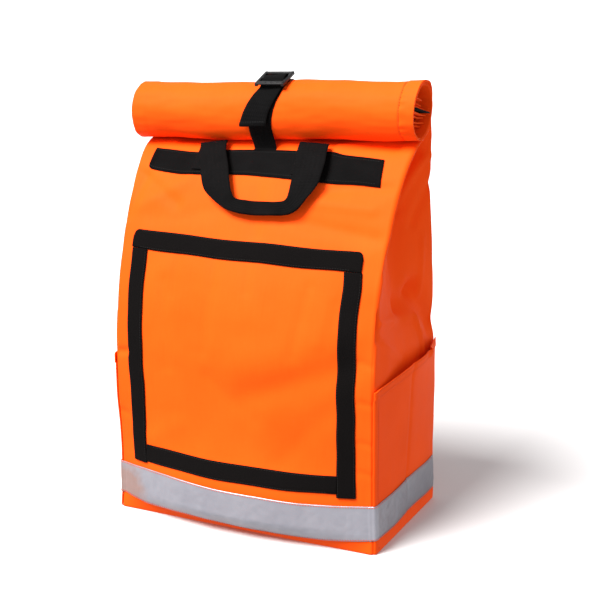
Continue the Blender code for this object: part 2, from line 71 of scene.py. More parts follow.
# The bag's cross-sections, as in the solids but for the four lowest rows, whose bulge was fitted
# again to the bottom edge: shares of BODY_HEIGHT, WIDTH and DEPTH
Section = namedtuple("Section", "height half front back bulge tuck lift")
SECTIONS = [
    Section(0.000, 0.508, -0.512, 0.492, 0.000, 0.000, 0.0),
    Section(0.018, 0.508, -0.512, 0.498, 0.060, 0.000, 0.0),
    Section(0.035, 0.507, -0.512, 0.500, 0.118, 0.000, 0.0),
    Section(0.062, 0.505, -0.510, 0.500, 0.162, 0.000, 0.0),
    Section(0.124, 0.502, -0.510, 0.500, 0.168, 0.000, 0.0),
    Section(0.203, 0.502, -0.514, 0.500, 0.125, 0.002, 0.0),
    Section(0.318, 0.503, -0.528, 0.500, 0.090, 0.006, 0.0),
    Section(0.424, 0.503, -0.532, 0.492, 0.080, 0.014, 0.0),
    Section(0.530, 0.502, -0.510, 0.462, 0.072, 0.030, 0.0),
    Section(0.618, 0.502, -0.468, 0.424, 0.062, 0.055, 0.0),
    Section(0.693, 0.505, -0.403, 0.386, 0.052, 0.078, 0.0),
    Section(0.767, 0.508, -0.322, 0.350, 0.040, 0.100, 0.15),
    Section(0.830, 0.512, -0.238, 0.322, 0.028, 0.112, 0.3),
    Section(0.880, 0.517, -0.145, 0.296, 0.018, 0.112, 0.5),
    Section(0.910, 0.522, -0.070, 0.276, 0.010, 0.095, 0.7),
    Section(0.926, 0.525, 0.000, 0.262, 0.004, 0.070, 0.85),
    Section(0.936, 0.528, 0.075, 0.248, 0.000, 0.040, 0.95),
    Section(0.948, 0.530, 0.130, 0.226, 0.000, 0.015, 1.0),
    Section(0.968, 0.530, 0.152, 0.200, 0.000, 0.006, 1.0),
    Section(1.000, 0.530, 0.156, 0.193, 0.000, 0.004, 1.0),
]

# Places round the outline, counted as in the solids: 14 units of front, 2 of each corner,
# 8 of each side and 10 of back
FRONT_END = 14.0
RIGHT_START = 16.0
RIGHT_END = 24.0
BACK_START = 26.0
BACK_END = 36.0
LEFT_START = 38.0
LEFT_END = 46.0
OUTLINE = 48.0
CORNER_SPAN = 2.0
SIDE_SPAN = 8.0
BACK_SPAN = 10.0


# Smooth curves through tables of rows

def spline_at(reach, flat, wanted):
    """A curve through rows at the given reaches, without overshoot, read at wanted reaches."""
    gaps = np.diff(reach)[:, None]
    slopes = np.diff(flat, axis=0) / gaps
    tangents = np.zeros_like(flat)
    same = slopes[:-1] * slopes[1:] > 0.0
    mean = 2.0 * slopes[:-1] * slopes[1:] / np.where(same, slopes[:-1] + slopes[1:], 1.0)
    tangents[1:-1] = np.where(same, mean, 0.0)
    tangents[0], tangents[-1] = slopes[0], slopes[-1]
    index = np.clip(np.searchsorted(reach, wanted, side="right") - 1, 0, len(gaps) - 1)
    t = ((wanted - reach[index]) / gaps[index, 0])[:, None]
    low, high, step = flat[index], flat[index + 1], gaps[index]
    curve = (2 * t**3 - 3 * t**2 + 1) * low + (t**3 - 2 * t**2 + t) * step * tangents[index]
    return curve + (3 * t**2 - 2 * t**3) * high + (t**3 - t**2) * step * tangents[index + 1]


def spline(rows, count):
    """Rows of numbers or points, drawn out to a smooth run of count rows through all of them."""
    rows = np.asarray(rows, float)
    flat = rows.reshape(len(rows), -1)
    reach = np.concatenate([[0.0], np.cumsum(np.linalg.norm(np.diff(flat, axis=0), axis=-1) + 1e-9)])
    return spline_at(reach, flat, np.linspace(0.0, reach[-1], count)).reshape(count, *rows.shape[1:])


CURVE_SAMPLES = 1200


def section_curves():
    """Dense samples of each column of the table of sections, by height."""
    table = np.array(SECTIONS)
    heights = np.linspace(0.0, 1.0, CURVE_SAMPLES)
    columns = spline_at(table[:, 0], table[:, 1:], heights).T
    return heights, dict(zip(Section._fields[1:], columns))


CURVE_HEIGHTS, CURVES = section_curves()


def at_height(name, height):
    return np.interp(height / BODY_HEIGHT, CURVE_HEIGHTS, CURVES[name])


def noise_field(points, size, seed):
    """Smooth noise between about -1 and 1 at each point, with features of a size in metres."""
    shift = Vector((seed * 7.13, seed * 3.71, seed * 1.37))
    flat = np.asarray(points).reshape(-1, 3) / size
    values = [noise.noise(Vector(point) + shift) for point in flat]
    return np.array(values).reshape(np.asarray(points).shape[:-1])


GUSSET_ROUNDING = 0.012
SWELL_POWER = 0.9


def half_flat(height):
    return at_height("half", height) * WIDTH - CORNER_RADIUS


def base_point(s, h):
    """The bag's smooth outer wall at outline places s and heights h, without folds."""
    s, h = np.broadcast_arrays(np.asarray(s, float), np.asarray(h, float))
    s = np.mod(s, OUTLINE)
    half = at_height("half", h) * WIDTH
    front = at_height("front", h) * DEPTH
    back = at_height("back", h) * DEPTH
    bulge = at_height("bulge", h) * DEPTH
    tuck = at_height("tuck", h) * WIDTH
    lift = at_height("lift", h)
    radius = np.minimum(CORNER_RADIUS, 0.3 * (back - front))
    flat = half - radius
    across = 2.0 * s / FRONT_END - 1.0
    swell = np.cos(0.5 * math.pi * np.clip(across, -1.0, 1.0)) ** SWELL_POWER
    x = flat * across
    y = front - bulge * swell
    for start, middle_x, middle_y, turn in (
        (FRONT_END, flat, front + radius, -90.0),
        (RIGHT_END, flat, back - radius, 0.0),
        (BACK_END, -flat, back - radius, 90.0),
        (LEFT_END, -flat, front + radius, 180.0),
    ):
        inside = (s >= start) & (s <= start + CORNER_SPAN)
        angle = np.radians(turn + 90.0 * (s - start) / CORNER_SPAN)
        x = np.where(inside, middle_x + radius * np.cos(angle), x)
        y = np.where(inside, middle_y + radius * np.sin(angle), y)
    for start, sign in ((RIGHT_START, 1.0), (LEFT_START, -1.0)):
        inside = (s > start) & (s < start + SIDE_SPAN)
        share = (s - start) / SIDE_SPAN
        depth_share = share if sign > 0.0 else 1.0 - share
        soft = np.sqrt((2.0 * share - 1.0) ** 2 + GUSSET_ROUNDING)
        fold = np.clip((1.0 - soft) / (1.0 - math.sqrt(GUSSET_ROUNDING)), 0.0, 1.0)
        x = np.where(inside, sign * (half - tuck * fold), x)
        low, high = front + radius, back - radius
        y = np.where(inside, low + (high - low) * depth_share, y)
    inside = (s >= BACK_START) & (s <= BACK_END)
    x = np.where(inside, flat * (1.0 - 2.0 * (s - BACK_START) / BACK_SPAN), x)
    y = np.where(inside, back, y)
    return np.stack([x, y, h + lift * ROLL_TILT * x], axis=-1)


# Folds of the cloth in millimetres: place across and height of both ends, half width, and depth
# out of the cloth. Across is x on the front and y on the sides.
FRONT_FOLDS = [
    (160, 262, 20, 205, 20, -3.5), (165, 305, 10, 250, 26, 2.5), (20, 330, 30, 200, 60, 4),
    (-120, 345, -105, 230, 9, -1.4), (-100, 380, -102, 330, 6, -1), (-40, 385, -50, 260, 9, -1.2),
    (10, 385, 12, 345, 6, -1), (100, 360, 85, 270, 9, -1.4), (130, 350, 120, 290, 7, 1),
    (-40, 225, 30, 175, 12, -1.2), (130, 190, 70, 120, 16, -1.4), (-130, 120, -90, 150, 14, 1.2),
    (50, 440, 180, 425, 9, -3.2), (85, 462, 170, 458, 7, 2.4), (100, 478, 185, 484, 6, -2.2),
    (-50, 445, -150, 425, 12, -1.6), (-110, 478, -175, 440, 10, 2.2), (-192, 484, -120, 447, 8, -3),
    (-180, 480, -195, 425, 8, -2.6), (0, 470, 10, 420, 10, -1.6), (50, 534, 180, 527, 5, -3.4),
    (95, 525, 185, 538, 4, 2.2), (-150, 531, -85, 534, 6, -3.6), (175, 272, 195, 264, 3.5, -1.4),
    (176, 216, 195, 212, 3.5, -1.4), (176, 160, 195, 155, 3.5, -1.2), (176, 118, 195, 112, 3.5, -1.2),
    (-195, 236, -176, 240, 5, -3), (-195, 150, -178, 146, 4, -1.4),
]
SIDE_FOLDS = [
    (37, 509, 16, 446, 12, -9.1), (16, 446, -1, 318.5, 18, -4.2), (52, 507, 24.6, 449, 6, 5.6),
    (70, 480, 45, 420, 6, -3.6), (-1, 318.5, 45, 330, 14, -8.4), (45, 330, 90, 272, 15, -9.8),
    (-70, 268, 30, 255, 32, 7), (-100, 318, 36, 296, 6, 3.4), (40, 293, 59, 235, 5, 5),
    (-90, 290, -30, 250, 5, 2), (-106, 332, -107, 300, 4, -5.6), (63, 399, 65, 316, 4, 2.5),
    (-80, 390, -30, 440, 12, -4.2),
]
SEAM_DEPTH = 0.0007
SEAM_WIDTH = 0.12
SEAM_SHOWS = 0.235


def fold_depth(s, h, point):
    """How far the folds push the wall out at each place."""
    place_round = np.mod(s, OUTLINE)
    front = (place_round <= FRONT_END + 1.0) | (place_round >= OUTLINE - 1.0)
    back = (place_round >= BACK_START) & (place_round <= BACK_END)
    total = np.zeros_like(h)
    for folds, along, panel in (
        (FRONT_FOLDS, point[..., 0], front),
        (SIDE_FOLDS, point[..., 1], ~(front | back)),
    ):
        for x0, z0, x1, z1, width, depth in MILLIMETRE * np.array(folds):
            run = np.array([x1 - x0, z1 - z0])
            share = np.clip(((along - x0) * run[0] + (h - z0) * run[1]) / (run @ run), 0.0, 1.0)
            distance = np.hypot(along - x0 - share * run[0], h - z0 - share * run[1])
            total += panel * depth * np.exp(-((distance / width) ** 2))
    return total


def seam_depth(s, h):
    """Shallow grooves where the front and back panels are sewn to the sides."""
    place_round = np.mod(s, OUTLINE)
    total = np.zeros_like(h)
    for middle in (FRONT_END + 1.0, RIGHT_END + 1.0, BACK_END + 1.0, LEFT_END + 1.0):
        groove = np.exp(-(((place_round - middle) / SEAM_WIDTH) ** 2))
        total -= SEAM_DEPTH * groove * np.clip((SEAM_SHOWS - h) / 0.01, 0.0, 1.0)
    return total


# The filled cloth's soft unevenness: height and size of its features, squeeze by height and seed
SLACK_LAYERS = [(0.0022, 0.100, 0.7, 1.0), (0.0008, 0.040, 0.8, 2.0), (0.00025, 0.016, 0.6, 3.0)]


def slack(h, point):
    """Soft unevenness of the filled cloth, none at the floor and at the neck."""
    calm = np.clip(h / 0.03, 0.0, 1.0) * np.clip((BODY_HEIGHT - h) / 0.02, 0.0, 1.0)
    uneven = sum(high * noise_field(point * np.array([1.0, 1.0, squeeze]), size, seed)
                 for high, size, squeeze, seed in SLACK_LAYERS)
    return calm * uneven


# Steps for reading the wall's direction: units round the outline, and metres up
STEP_ROUND = 0.05
STEP_UP = 0.0015


def wall(s, h, out=0.0):
    """Points held clear of the cloth wall with its folds, and the outward directions there."""
    s, h = np.broadcast_arrays(np.asarray(s, float), np.asarray(h, float))
    point = base_point(s, h)
    along = base_point(s + STEP_ROUND, h) - base_point(s - STEP_ROUND, h)
    above, below = np.minimum(h + STEP_UP, BODY_HEIGHT), np.maximum(h - STEP_UP, 0.0)
    up = base_point(s, above) - base_point(s, below)
    normal = unit(np.cross(along, up))
    push = fold_depth(s, h, point) + slack(h, point) + seam_depth(s, h) + out
    return point + normal * push[..., None], normal


def unit(vectors):
    return vectors / (np.linalg.norm(vectors, axis=-1, keepdims=True) + 1e-12)


def front_place(x, h):
    return FRONT_END * (x / half_flat(h) + 1.0) / 2.0


def back_place(x, h):
    return BACK_START + BACK_SPAN * (1.0 - x / half_flat(h)) / 2.0


def on_front(x, h, out=0.0):
    x, h = np.broadcast_arrays(np.asarray(x, float), np.asarray(h, float))
    return wall(front_place(x, h), h, out)


def on_back(x, h, out=0.0):
    x, h = np.broadcast_arrays(np.asarray(x, float), np.asarray(h, float))
    return wall(back_place(x, h), h, out)


# Mesh making

def measured_size(points):
    """Width and length of a grid's cloth in metres, along its middle lines."""
    middle_row = points[points.shape[0] // 2]
    middle_column = points[:, points.shape[1] // 2]
    width = np.linalg.norm(np.diff(middle_row, axis=0), axis=-1).sum()
    length = np.linalg.norm(np.diff(middle_column, axis=0), axis=-1).sum()
    return width, length


def grid_mesh(name, points, closed=False, capped=False):
    """A sheet or tube of quads from rows of points, with a map of its real size in metres."""
    rows, columns = points.shape[:2]
    spans = columns if closed else columns - 1
    index = np.arange(rows * columns).reshape(rows, columns)
    after = np.roll(index, -1, axis=1)
    corners = [index[:-1, :spans], after[:-1, :spans], after[1:, :spans], index[1:, :spans]]
    faces = np.stack(corners, axis=-1).reshape(-1, 4).tolist()
    if capped:
        faces.append(index[0, ::-1].tolist())
        faces.append(index[-1].tolist())
    mesh = bpy.data.meshes.new(name)
    mesh.from_pydata(points.reshape(-1, 3).tolist(), [], faces)
    width, length = measured_size(points)
    u = np.linspace(0.0, width, spans + 1)
    v = np.linspace(0.0, length, rows)
    cell_u = np.stack([u[:-1], u[1:], u[1:], u[:-1]], axis=-1)
    cell_v = np.stack([v[:-1], v[:-1], v[1:], v[1:]], axis=-1)
    uv = np.zeros((rows - 1, spans, 4, 2))
    uv[..., 0] = cell_u[None, :, :]
    uv[..., 1] = cell_v[:, None, :]
    caps = np.zeros((2 * columns if capped else 0, 2))
    layer = mesh.uv_layers.new(name="cloth")
    layer.data.foreach_set("uv", np.concatenate([uv.reshape(-1, 2), caps]).reshape(-1).astype(np.float32))
    mesh.shade_smooth()
    return linked(name, mesh)


def linked(name, mesh):
    made = bpy.data.objects.new(name, mesh)
    bpy.context.collection.objects.link(made)
    return made


def thicken(made, thickness, side, bevel=0.0, even=True):
    """Gives a sheet its real thickness, and rounds its cut edges."""
    solid = made.modifiers.new("Thickness", "SOLIDIFY")
    solid.thickness = thickness
    solid.offset = side
    solid.use_even_offset = even
    solid.use_quality_normals = True
    if bevel:
        edge = made.modifiers.new("Edge", "BEVEL")
        edge.width = bevel
        edge.segments = 2
        edge.limit_method = "ANGLE"
        edge.angle_limit = math.radians(50.0)
    return made


def woven_band(name, base, normal, thickness):
    """A flat woven band with rounded selvedges, standing on a grid of points."""
    columns = base[:, -1] - base[:, 0]
    run = np.gradient(base, axis=0)[:, 0]
    facing = (np.cross(columns, run) * normal[:, 0]).sum(-1)
    if np.median(facing) < 0.0:
        base, normal = base[:, ::-1], normal[:, ::-1]
    thickness = np.broadcast_to(np.asarray(thickness, float), (len(base),))[:, None]
    top = base + normal * thickness[..., None]
    inward = unit(base[:, -1] - base[:, 0]) * 0.35 * thickness
    top[:, 0] += inward - normal[:, 0] * 0.25 * thickness
    top[:, -1] -= inward + normal[:, -1] * 0.25 * thickness
    low = base.copy()
    low[:, 0] += inward
    low[:, -1] -= inward
    right = base[:, -1] + normal[:, -1] * 0.45 * thickness
    left = base[:, 0] + normal[:, 0] * 0.45 * thickness
    ring = np.concatenate([top, right[:, None], low[:, ::-1], left[:, None]], axis=1)
    return grid_mesh(name, ring, closed=True, capped=True)


def joined(name, pieces):
    """One object from several, without their modifiers being lost."""
    for piece in pieces:
        if piece.modifiers:
            graph = bpy.context.evaluated_depsgraph_get()
            mesh = bpy.data.meshes.new_from_object(piece.evaluated_get(graph))
            piece.modifiers.clear()
            piece.data = mesh
    for other in bpy.context.selected_objects:
        other.select_set(False)
    for piece in pieces:
        piece.select_set(True)
    bpy.context.view_layer.objects.active = pieces[0]
    bpy.ops.object.join()
    pieces[0].name = name
    pieces[0].data.name = name
    return pieces[0]


def dressed(made, node_names, finish):
    """Rides on the bag's one body, stands for its solids and takes its finish."""
    made.data.materials.clear()
    made.data.materials.append(finish)
    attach(made, "root")
    if node_names:
        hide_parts(*node_names)
    return made


def webbing_piece(name, base, normal, node_name, thickness=WEBBING):
    made = woven_band(name, base, normal, thickness)
    return dressed(made, [node_name], BLACK_WEBBING)


def stitch_row(points, normals, pitch=0.0036, length=0.0026, radius=0.00042):
    """Vertices and faces of a row of stitches along a line of points."""
    reach = np.concatenate([[0.0], np.cumsum(np.linalg.norm(np.diff(points, axis=0), axis=-1))])
    starts = np.arange(0.5 * pitch, reach[-1] - 0.5 * pitch, pitch)
    verts, faces = [], []

    def read(places, rows):
        return np.stack([np.interp(places, reach, rows[:, k]) for k in range(3)], axis=-1)

    heads = read(starts - 0.5 * length, points)
    tails = read(starts + 0.5 * length, points)
    ups = unit(read(starts, normals))
    for head, tail, up in zip(heads, tails, ups):
        run = tail - head
        side = np.cross(run, up)
        side *= radius / (np.linalg.norm(side) + 1e-12)
        lift = up * radius
        first = len(verts)
        verts.append(head - 0.3 * lift)
        for share in (0.25, 0.75):
            middle = head + run * share
            verts += [middle + side, middle + 1.3 * lift, middle - side]
        verts.append(tail - 0.3 * lift)
        a, b, c, d, e, f, g, k = range(first, first + 8)
        faces += [(a, c, b), (a, d, c), (b, c, f, e), (c, d, g, f), (e, f, k), (f, g, k)]
    return verts, faces


def stitching(name, rows, finish):
    """One object of all the rows of stitches that share a thread."""
    verts, faces = [], []
    for row in rows:
        some_verts, some_faces = stitch_row(*row)
        faces += [tuple(i + len(verts) for i in face) for face in some_faces]
        verts += some_verts
    mesh = bpy.data.meshes.new(name)
    mesh.from_pydata([tuple(v) for v in verts], [], faces)
    mesh.shade_smooth()
    return dressed(linked(name, mesh), [], finish)


# Materials: colours, the pitches of the weave and webbing, and the tape's painted sheen patch

CLOTH_DARK = (0.90, 0.074, 0.0035)
CLOTH_LIGHT = (0.97, 0.086, 0.0050)
WEBBING_DARK = (0.0015, 0.0014, 0.0015)
WEBBING_LIGHT = (0.0038, 0.0036, 0.0038)
PILE_DARK = (0.0014, 0.0011, 0.0011)
PILE_LIGHT = (0.0052, 0.0042, 0.0042)
SILVER_DARK = (0.215, 0.217, 0.252)
SILVER_LIGHT = (0.262, 0.262, 0.296)
PLASTIC_DARK = (0.0040, 0.0040, 0.0046)
PLASTIC_LIGHT = (0.0065, 0.0065, 0.0072)
ORANGE_THREAD_COLOUR = (0.70, 0.045, 0.002)
BLACK_THREAD_COLOUR = (0.0040, 0.0038, 0.0040)
WEAVE_PITCH = 0.0011
RIB_PITCH = 0.0019
CORD_PITCH = 0.0026
# Painted sheen on the tape: the warm colour of a painted reflection, its middle and its reach
SHEEN_PATCH_COLOUR = (0.26, 0.15, 0.12, 1.0)
SHEEN_PATCH_PLACE = (-0.186, -0.122, 0.034)
SHEEN_PATCH_REACH = 0.030


def new_material(name, roughness, specular):
    made = bpy.data.materials.new(name)
    made.use_nodes = True
    tree = made.node_tree
    shader = tree.nodes["Principled BSDF"]
    shader.inputs["Roughness"].default_value = roughness
    shader.inputs["Specular IOR Level"].default_value = specular
    return made, tree, shader


def calculate(tree, operation, first, second=None, third=None):
    made = tree.nodes.new("ShaderNodeMath")
    made.operation = operation
    for socket, value in zip(made.inputs, (first, second, third)):
        if isinstance(value, (int, float)):
            socket.default_value = value
        elif value is not None:
            tree.links.new(value, socket)
    return made.outputs[0]


def weighted(tree, first, first_weight, second, second_weight):
    rest = calculate(tree, "MULTIPLY", second, second_weight)
    return calculate(tree, "MULTIPLY_ADD", first, first_weight, rest)


def cloth_map(tree):
    """The sheet's own map in metres: as a vector, across and along."""
    uv = tree.nodes.new("ShaderNodeUVMap")
    uv.uv_map = "cloth"
    split = tree.nodes.new("ShaderNodeSeparateXYZ")
    tree.links.new(uv.outputs["UV"], split.inputs[0])
    return uv.outputs["UV"], split.outputs["X"], split.outputs["Y"]


def object_place(tree):
    return tree.nodes.new("ShaderNodeTexCoord").outputs["Object"]


def texture(tree, vector, scale, detail=3.0, stretch=(1.0, 1.0, 1.0)):
    if stretch != (1.0, 1.0, 1.0):
        mapping = tree.nodes.new("ShaderNodeMapping")
        mapping.inputs["Scale"].default_value = stretch
        tree.links.new(vector, mapping.inputs["Vector"])
        vector = mapping.outputs["Vector"]
    made = tree.nodes.new("ShaderNodeTexNoise")
    made.inputs["Scale"].default_value = scale
    made.inputs["Detail"].default_value = detail
    tree.links.new(vector, made.inputs["Vector"])
    return made.outputs["Fac"]


def blend_colours(tree, factor, dark, light, low=0.3, high=0.7):
    ramp = tree.nodes.new("ShaderNodeValToRGB")
    for element, position, colour in zip(ramp.color_ramp.elements, (low, high), (dark, light)):
        element.position = position
        element.color = (*colour, 1.0)
    tree.links.new(factor, ramp.inputs["Fac"])
    return ramp.outputs["Color"]


def bump(tree, shader, height, distance, strength=1.0):
    made = tree.nodes.new("ShaderNodeBump")
    made.inputs["Strength"].default_value = strength
    made.inputs["Distance"].default_value = distance
    tree.links.new(height, made.inputs["Height"])
    tree.links.new(made.outputs["Normal"], shader.inputs["Normal"])


def wave(tree, place, pitch):
    return calculate(tree, "SINE", calculate(tree, "MULTIPLY", place, 2.0 * math.pi / pitch))


def cloth_material():
    """Coated orange polyester in a plain weave."""
    made, tree, shader = new_material("orange_cloth", 0.62, 0.05)
    vector, across, along = cloth_map(tree)
    place = object_place(tree)
    broad = texture(tree, place, 11.0, 4.0)
    threads = texture(tree, vector, 260.0, 2.0, (1.0, 0.12, 1.0))
    mixed = weighted(tree, threads, 0.2, broad, 0.8)
    colour = blend_colours(tree, mixed, CLOTH_DARK, CLOTH_LIGHT)
    tree.links.new(colour, shader.inputs["Base Color"])
    weave = calculate(tree, "MULTIPLY", wave(tree, across, WEAVE_PITCH), wave(tree, along, WEAVE_PITCH))
    creases = texture(tree, place, 130.0, 5.0)
    height = weighted(tree, weave, 0.12, creases, 0.9)
    height = calculate(tree, "MULTIPLY_ADD", threads, 0.12, height)
    bump(tree, shader, height, 0.0008, 0.22)
    return made


def webbing_material():
    """Black woven webbing with crosswise ribs and finer cords along it."""
    made, tree, shader = new_material("black_webbing", 0.82, 0.05)
    vector, across, along = cloth_map(tree)
    fuzz = texture(tree, vector, 900.0)
    wear = texture(tree, object_place(tree), 60.0)
    mixed = weighted(tree, fuzz, 0.6, wear, 0.4)
    colour = blend_colours(tree, mixed, WEBBING_DARK, WEBBING_LIGHT)
    tree.links.new(colour, shader.inputs["Base Color"])
    ribs = wave(tree, along, RIB_PITCH)
    cords = wave(tree, across, CORD_PITCH)
    height = calculate(tree, "MULTIPLY_ADD", cords, 0.6, ribs)
    height = calculate(tree, "MULTIPLY_ADD", fuzz, 1.2, height)
    bump(tree, shader, height, 0.00022, 0.8)
    return made


def loop_tape_material():
    """Black loop tape: a short matte pile."""
    made, tree, shader = new_material("black_loop_tape", 0.95, 0.05)
    vector, _, _ = cloth_map(tree)
    pile = texture(tree, vector, 1100.0, 6.0)
    colour = blend_colours(tree, pile, PILE_DARK, PILE_LIGHT)
    tree.links.new(colour, shader.inputs["Base Color"])
    bump(tree, shader, pile, 0.0009, 1.0)
    return made


def reflective_material():
    """Silver reflecting tape, a little crinkled, with a painted warm sheen near its left end."""
    made, tree, shader = new_material("reflective_tape", 0.36, 0.5)
    vector, _, _ = cloth_map(tree)
    place = object_place(tree)
    beads = texture(tree, vector, 1500.0)
    crinkle = texture(tree, place, 75.0, 6.0)
    broad = texture(tree, place, 22.0, 4.0)
    mixed = weighted(tree, crinkle, 0.5, broad, 0.5)
    silver = blend_colours(tree, mixed, SILVER_DARK, SILVER_LIGHT)
    # Painted sheen: near one place by the tape's left end, the silver is tinted warm, a reflection painted
    # into the colour
    spot = tree.nodes.new("ShaderNodeVectorMath")
    spot.operation = "DISTANCE"
    spot.inputs[1].default_value = SHEEN_PATCH_PLACE
    tree.links.new(place, spot.inputs[0])
    far = calculate(tree, "MULTIPLY_ADD", texture(tree, place, 90.0, 4.0), -0.030, spot.outputs["Value"])
    near = tree.nodes.new("ShaderNodeMapRange")
    near.inputs["From Min"].default_value = SHEEN_PATCH_REACH
    near.inputs["From Max"].default_value = 0.0
    tree.links.new(far, near.inputs["Value"])
    tint = tree.nodes.new("ShaderNodeMix")
    tint.data_type = "RGBA"
    for socket in tint.inputs:
        if socket.type == "RGBA" and socket.name == "B":
            socket.default_value = SHEEN_PATCH_COLOUR
        if socket.type == "RGBA" and socket.name == "A":
            tree.links.new(silver, socket)
    tree.links.new(calculate(tree, "MINIMUM", near.outputs["Result"], 0.8), tint.inputs["Factor"])
    result = [socket for socket in tint.outputs if socket.type == "RGBA"][0]
    tree.links.new(result, shader.inputs["Base Color"])
    height = calculate(tree, "MULTIPLY_ADD", beads, 0.06, crinkle)
    bump(tree, shader, height, 0.0016, 0.30)
    shader.inputs["Metallic"].default_value = 0.45
    return made


def plastic_material():
    made, tree, shader = new_material("black_plastic", 0.42, 0.22)
    grain = texture(tree, object_place(tree), 1800.0)
    colour = blend_colours(tree, grain, PLASTIC_DARK, PLASTIC_LIGHT)
    tree.links.new(colour, shader.inputs["Base Color"])
    bump(tree, shader, grain, 0.0001, 0.5)
    return made


def thread_material(name, colour):
    made, tree, shader = new_material(name, 0.7, 0.2)
    fibre = texture(tree, object_place(tree), 2500.0)
    dark = tuple(0.8 * part for part in colour)
    tree.links.new(blend_colours(tree, fibre, dark, colour), shader.inputs["Base Color"])
    return made


ORANGE = cloth_material()
BLACK_WEBBING = webbing_material()
LOOP_TAPE = loop_tape_material()
SILVER = reflective_material()
PLASTIC = plastic_material()
ORANGE_THREAD = thread_material("orange_thread", ORANGE_THREAD_COLOUR)
BLACK_THREAD = thread_material("black_thread", BLACK_THREAD_COLOUR)


# The bag, its pockets and what is sewn on its front

def bag_shell():
    """The bag's wall with its floor."""
    stretches = ((0.0, FRONT_END, 72), (FRONT_END, RIGHT_START, 10), (RIGHT_START, RIGHT_END, 48),
                 (RIGHT_END, BACK_START, 10), (BACK_START, BACK_END, 36), (BACK_END, LEFT_START, 10),
                 (LEFT_START, LEFT_END, 36), (LEFT_END, OUTLINE, 10))
    s = np.concatenate([np.linspace(a, b, count, endpoint=False) for a, b, count in stretches])
    h = np.concatenate([
        np.linspace(0.0, 0.012, 5, endpoint=False),
        np.linspace(0.012, 0.48, 120, endpoint=False),
        np.linspace(0.48, BODY_HEIGHT, 44),
    ])
    points, _ = wall(s[None, :], h[:, None])
    made = grid_mesh("bag_shell", points, closed=True, capped=True)
    open_neck(made)
    return dressed(thicken(made, CLOTH, -1.0, even=False), ["bag_body"], ORANGE)


def open_neck(made):
    """Takes the top cap off again, because the bag is open there."""
    mesh = bmesh.new()
    mesh.from_mesh(made.data)
    mesh.faces.ensure_lookup_table()
    bmesh.ops.delete(mesh, geom=[mesh.faces[-1]], context="FACES_ONLY")
    mesh.to_mesh(made.data)
    mesh.free()


POCKET_BOTTOM = 0.001
POCKET_HEM_FRONT = 0.233
POCKET_HEM_BACK = 0.247
POCKET_GAPE = 0.012
HEM_DEPTH = 0.013


def pocket_gape(share, rise):
    """How far a side pocket stands off the side, widest at its top and behind its middle."""
    bow = np.sin(math.pi * np.clip(share, 0.0, 1.0) ** 1.5)
    return POCKET_GAPE * bow * np.clip(rise, 0.0, 1.0) ** 1.6


def pocket_crease(share, rise):
    """The upright crease in the middle of a side pocket, fainter at its foot."""
    return -0.0016 * np.exp(-(((share - 0.5) / 0.018) ** 2)) * np.clip(rise * 3.0, 0.3, 1.0)


def side_place(start, mirrored, share):
    return start + SIDE_SPAN * (1.0 - share if mirrored else share)


def pocket_skin(start, mirrored, share, rise, out):
    """Points of a side pocket: share runs from the bag's front to its back, rise from 0 to 1."""
    share, rise = np.broadcast_arrays(share, rise)
    hem = POCKET_HEM_FRONT + (POCKET_HEM_BACK - POCKET_HEM_FRONT) * share
    h = POCKET_BOTTOM + (hem - POCKET_BOTTOM) * rise
    ripple = 0.0012 * np.sin(9.0 * share + 5.0 * rise) * rise * np.sin(math.pi * share)
    lift = SEAT + pocket_gape(share, rise) + pocket_crease(share, rise) + ripple + out
    return wall(side_place(start, mirrored, share), h, lift)


def side_pocket(side, start, mirrored):
    share = np.concatenate([[-0.115, -0.07, -0.03], np.linspace(0.0, 1.0, 70)])[None, :]
    hem_share = 1.0 - HEM_DEPTH / (POCKET_HEM_FRONT - POCKET_BOTTOM)
    rise = np.concatenate([
        np.linspace(0.0, hem_share - 0.004, 66), np.linspace(hem_share, 1.0, 10)])[:, None]
    fold = 0.0013 * np.clip((rise - hem_share) / 0.006, 0.0, 1.0)
    points, _ = pocket_skin(start, mirrored, share, rise, 0.0005 + fold)
    if mirrored:
        points = points[:, ::-1]
    made = grid_mesh(f"pocket_{side}", points)
    thicken(made, CLOTH, 1.0, 0.0004)
    dressed(made, [f"side_pocket_{side}"], ORANGE)
    lines = []
    for drop in (0.0025, HEM_DEPTH - 0.002):
        level = 1.0 - drop / (POCKET_HEM_FRONT - POCKET_BOTTOM)
        lines.append(pocket_skin(start, mirrored, np.linspace(0.02, 0.98, 120), level, 0.0033))
    lines.append(pocket_skin(start, mirrored, 0.02, np.linspace(0.32, 0.98, 120), 0.0021))
    lines.append(pocket_skin(start, mirrored, 0.02, np.linspace(0.02, 0.05, 20), 0.0021))
    return lines


# Edges of the reflecting tape on the front: sideways place, low edge and high edge
TAPE_EDGES = [
    (-0.194, 0.0235, 0.0705), (-0.150, 0.0172, 0.0728), (-0.105, 0.0180, 0.0731),
    (-0.067, 0.0180, 0.0720), (-0.028, 0.0160, 0.0706), (0.005, 0.0142, 0.0702),
    (0.040, 0.0132, 0.0700), (0.070, 0.0128, 0.0690), (0.102, 0.0134, 0.0680),
    (0.131, 0.0145, 0.0680), (0.160, 0.0172, 0.0682), (0.194, 0.0202, 0.0694),
]
TAPE_THICK = 0.0003


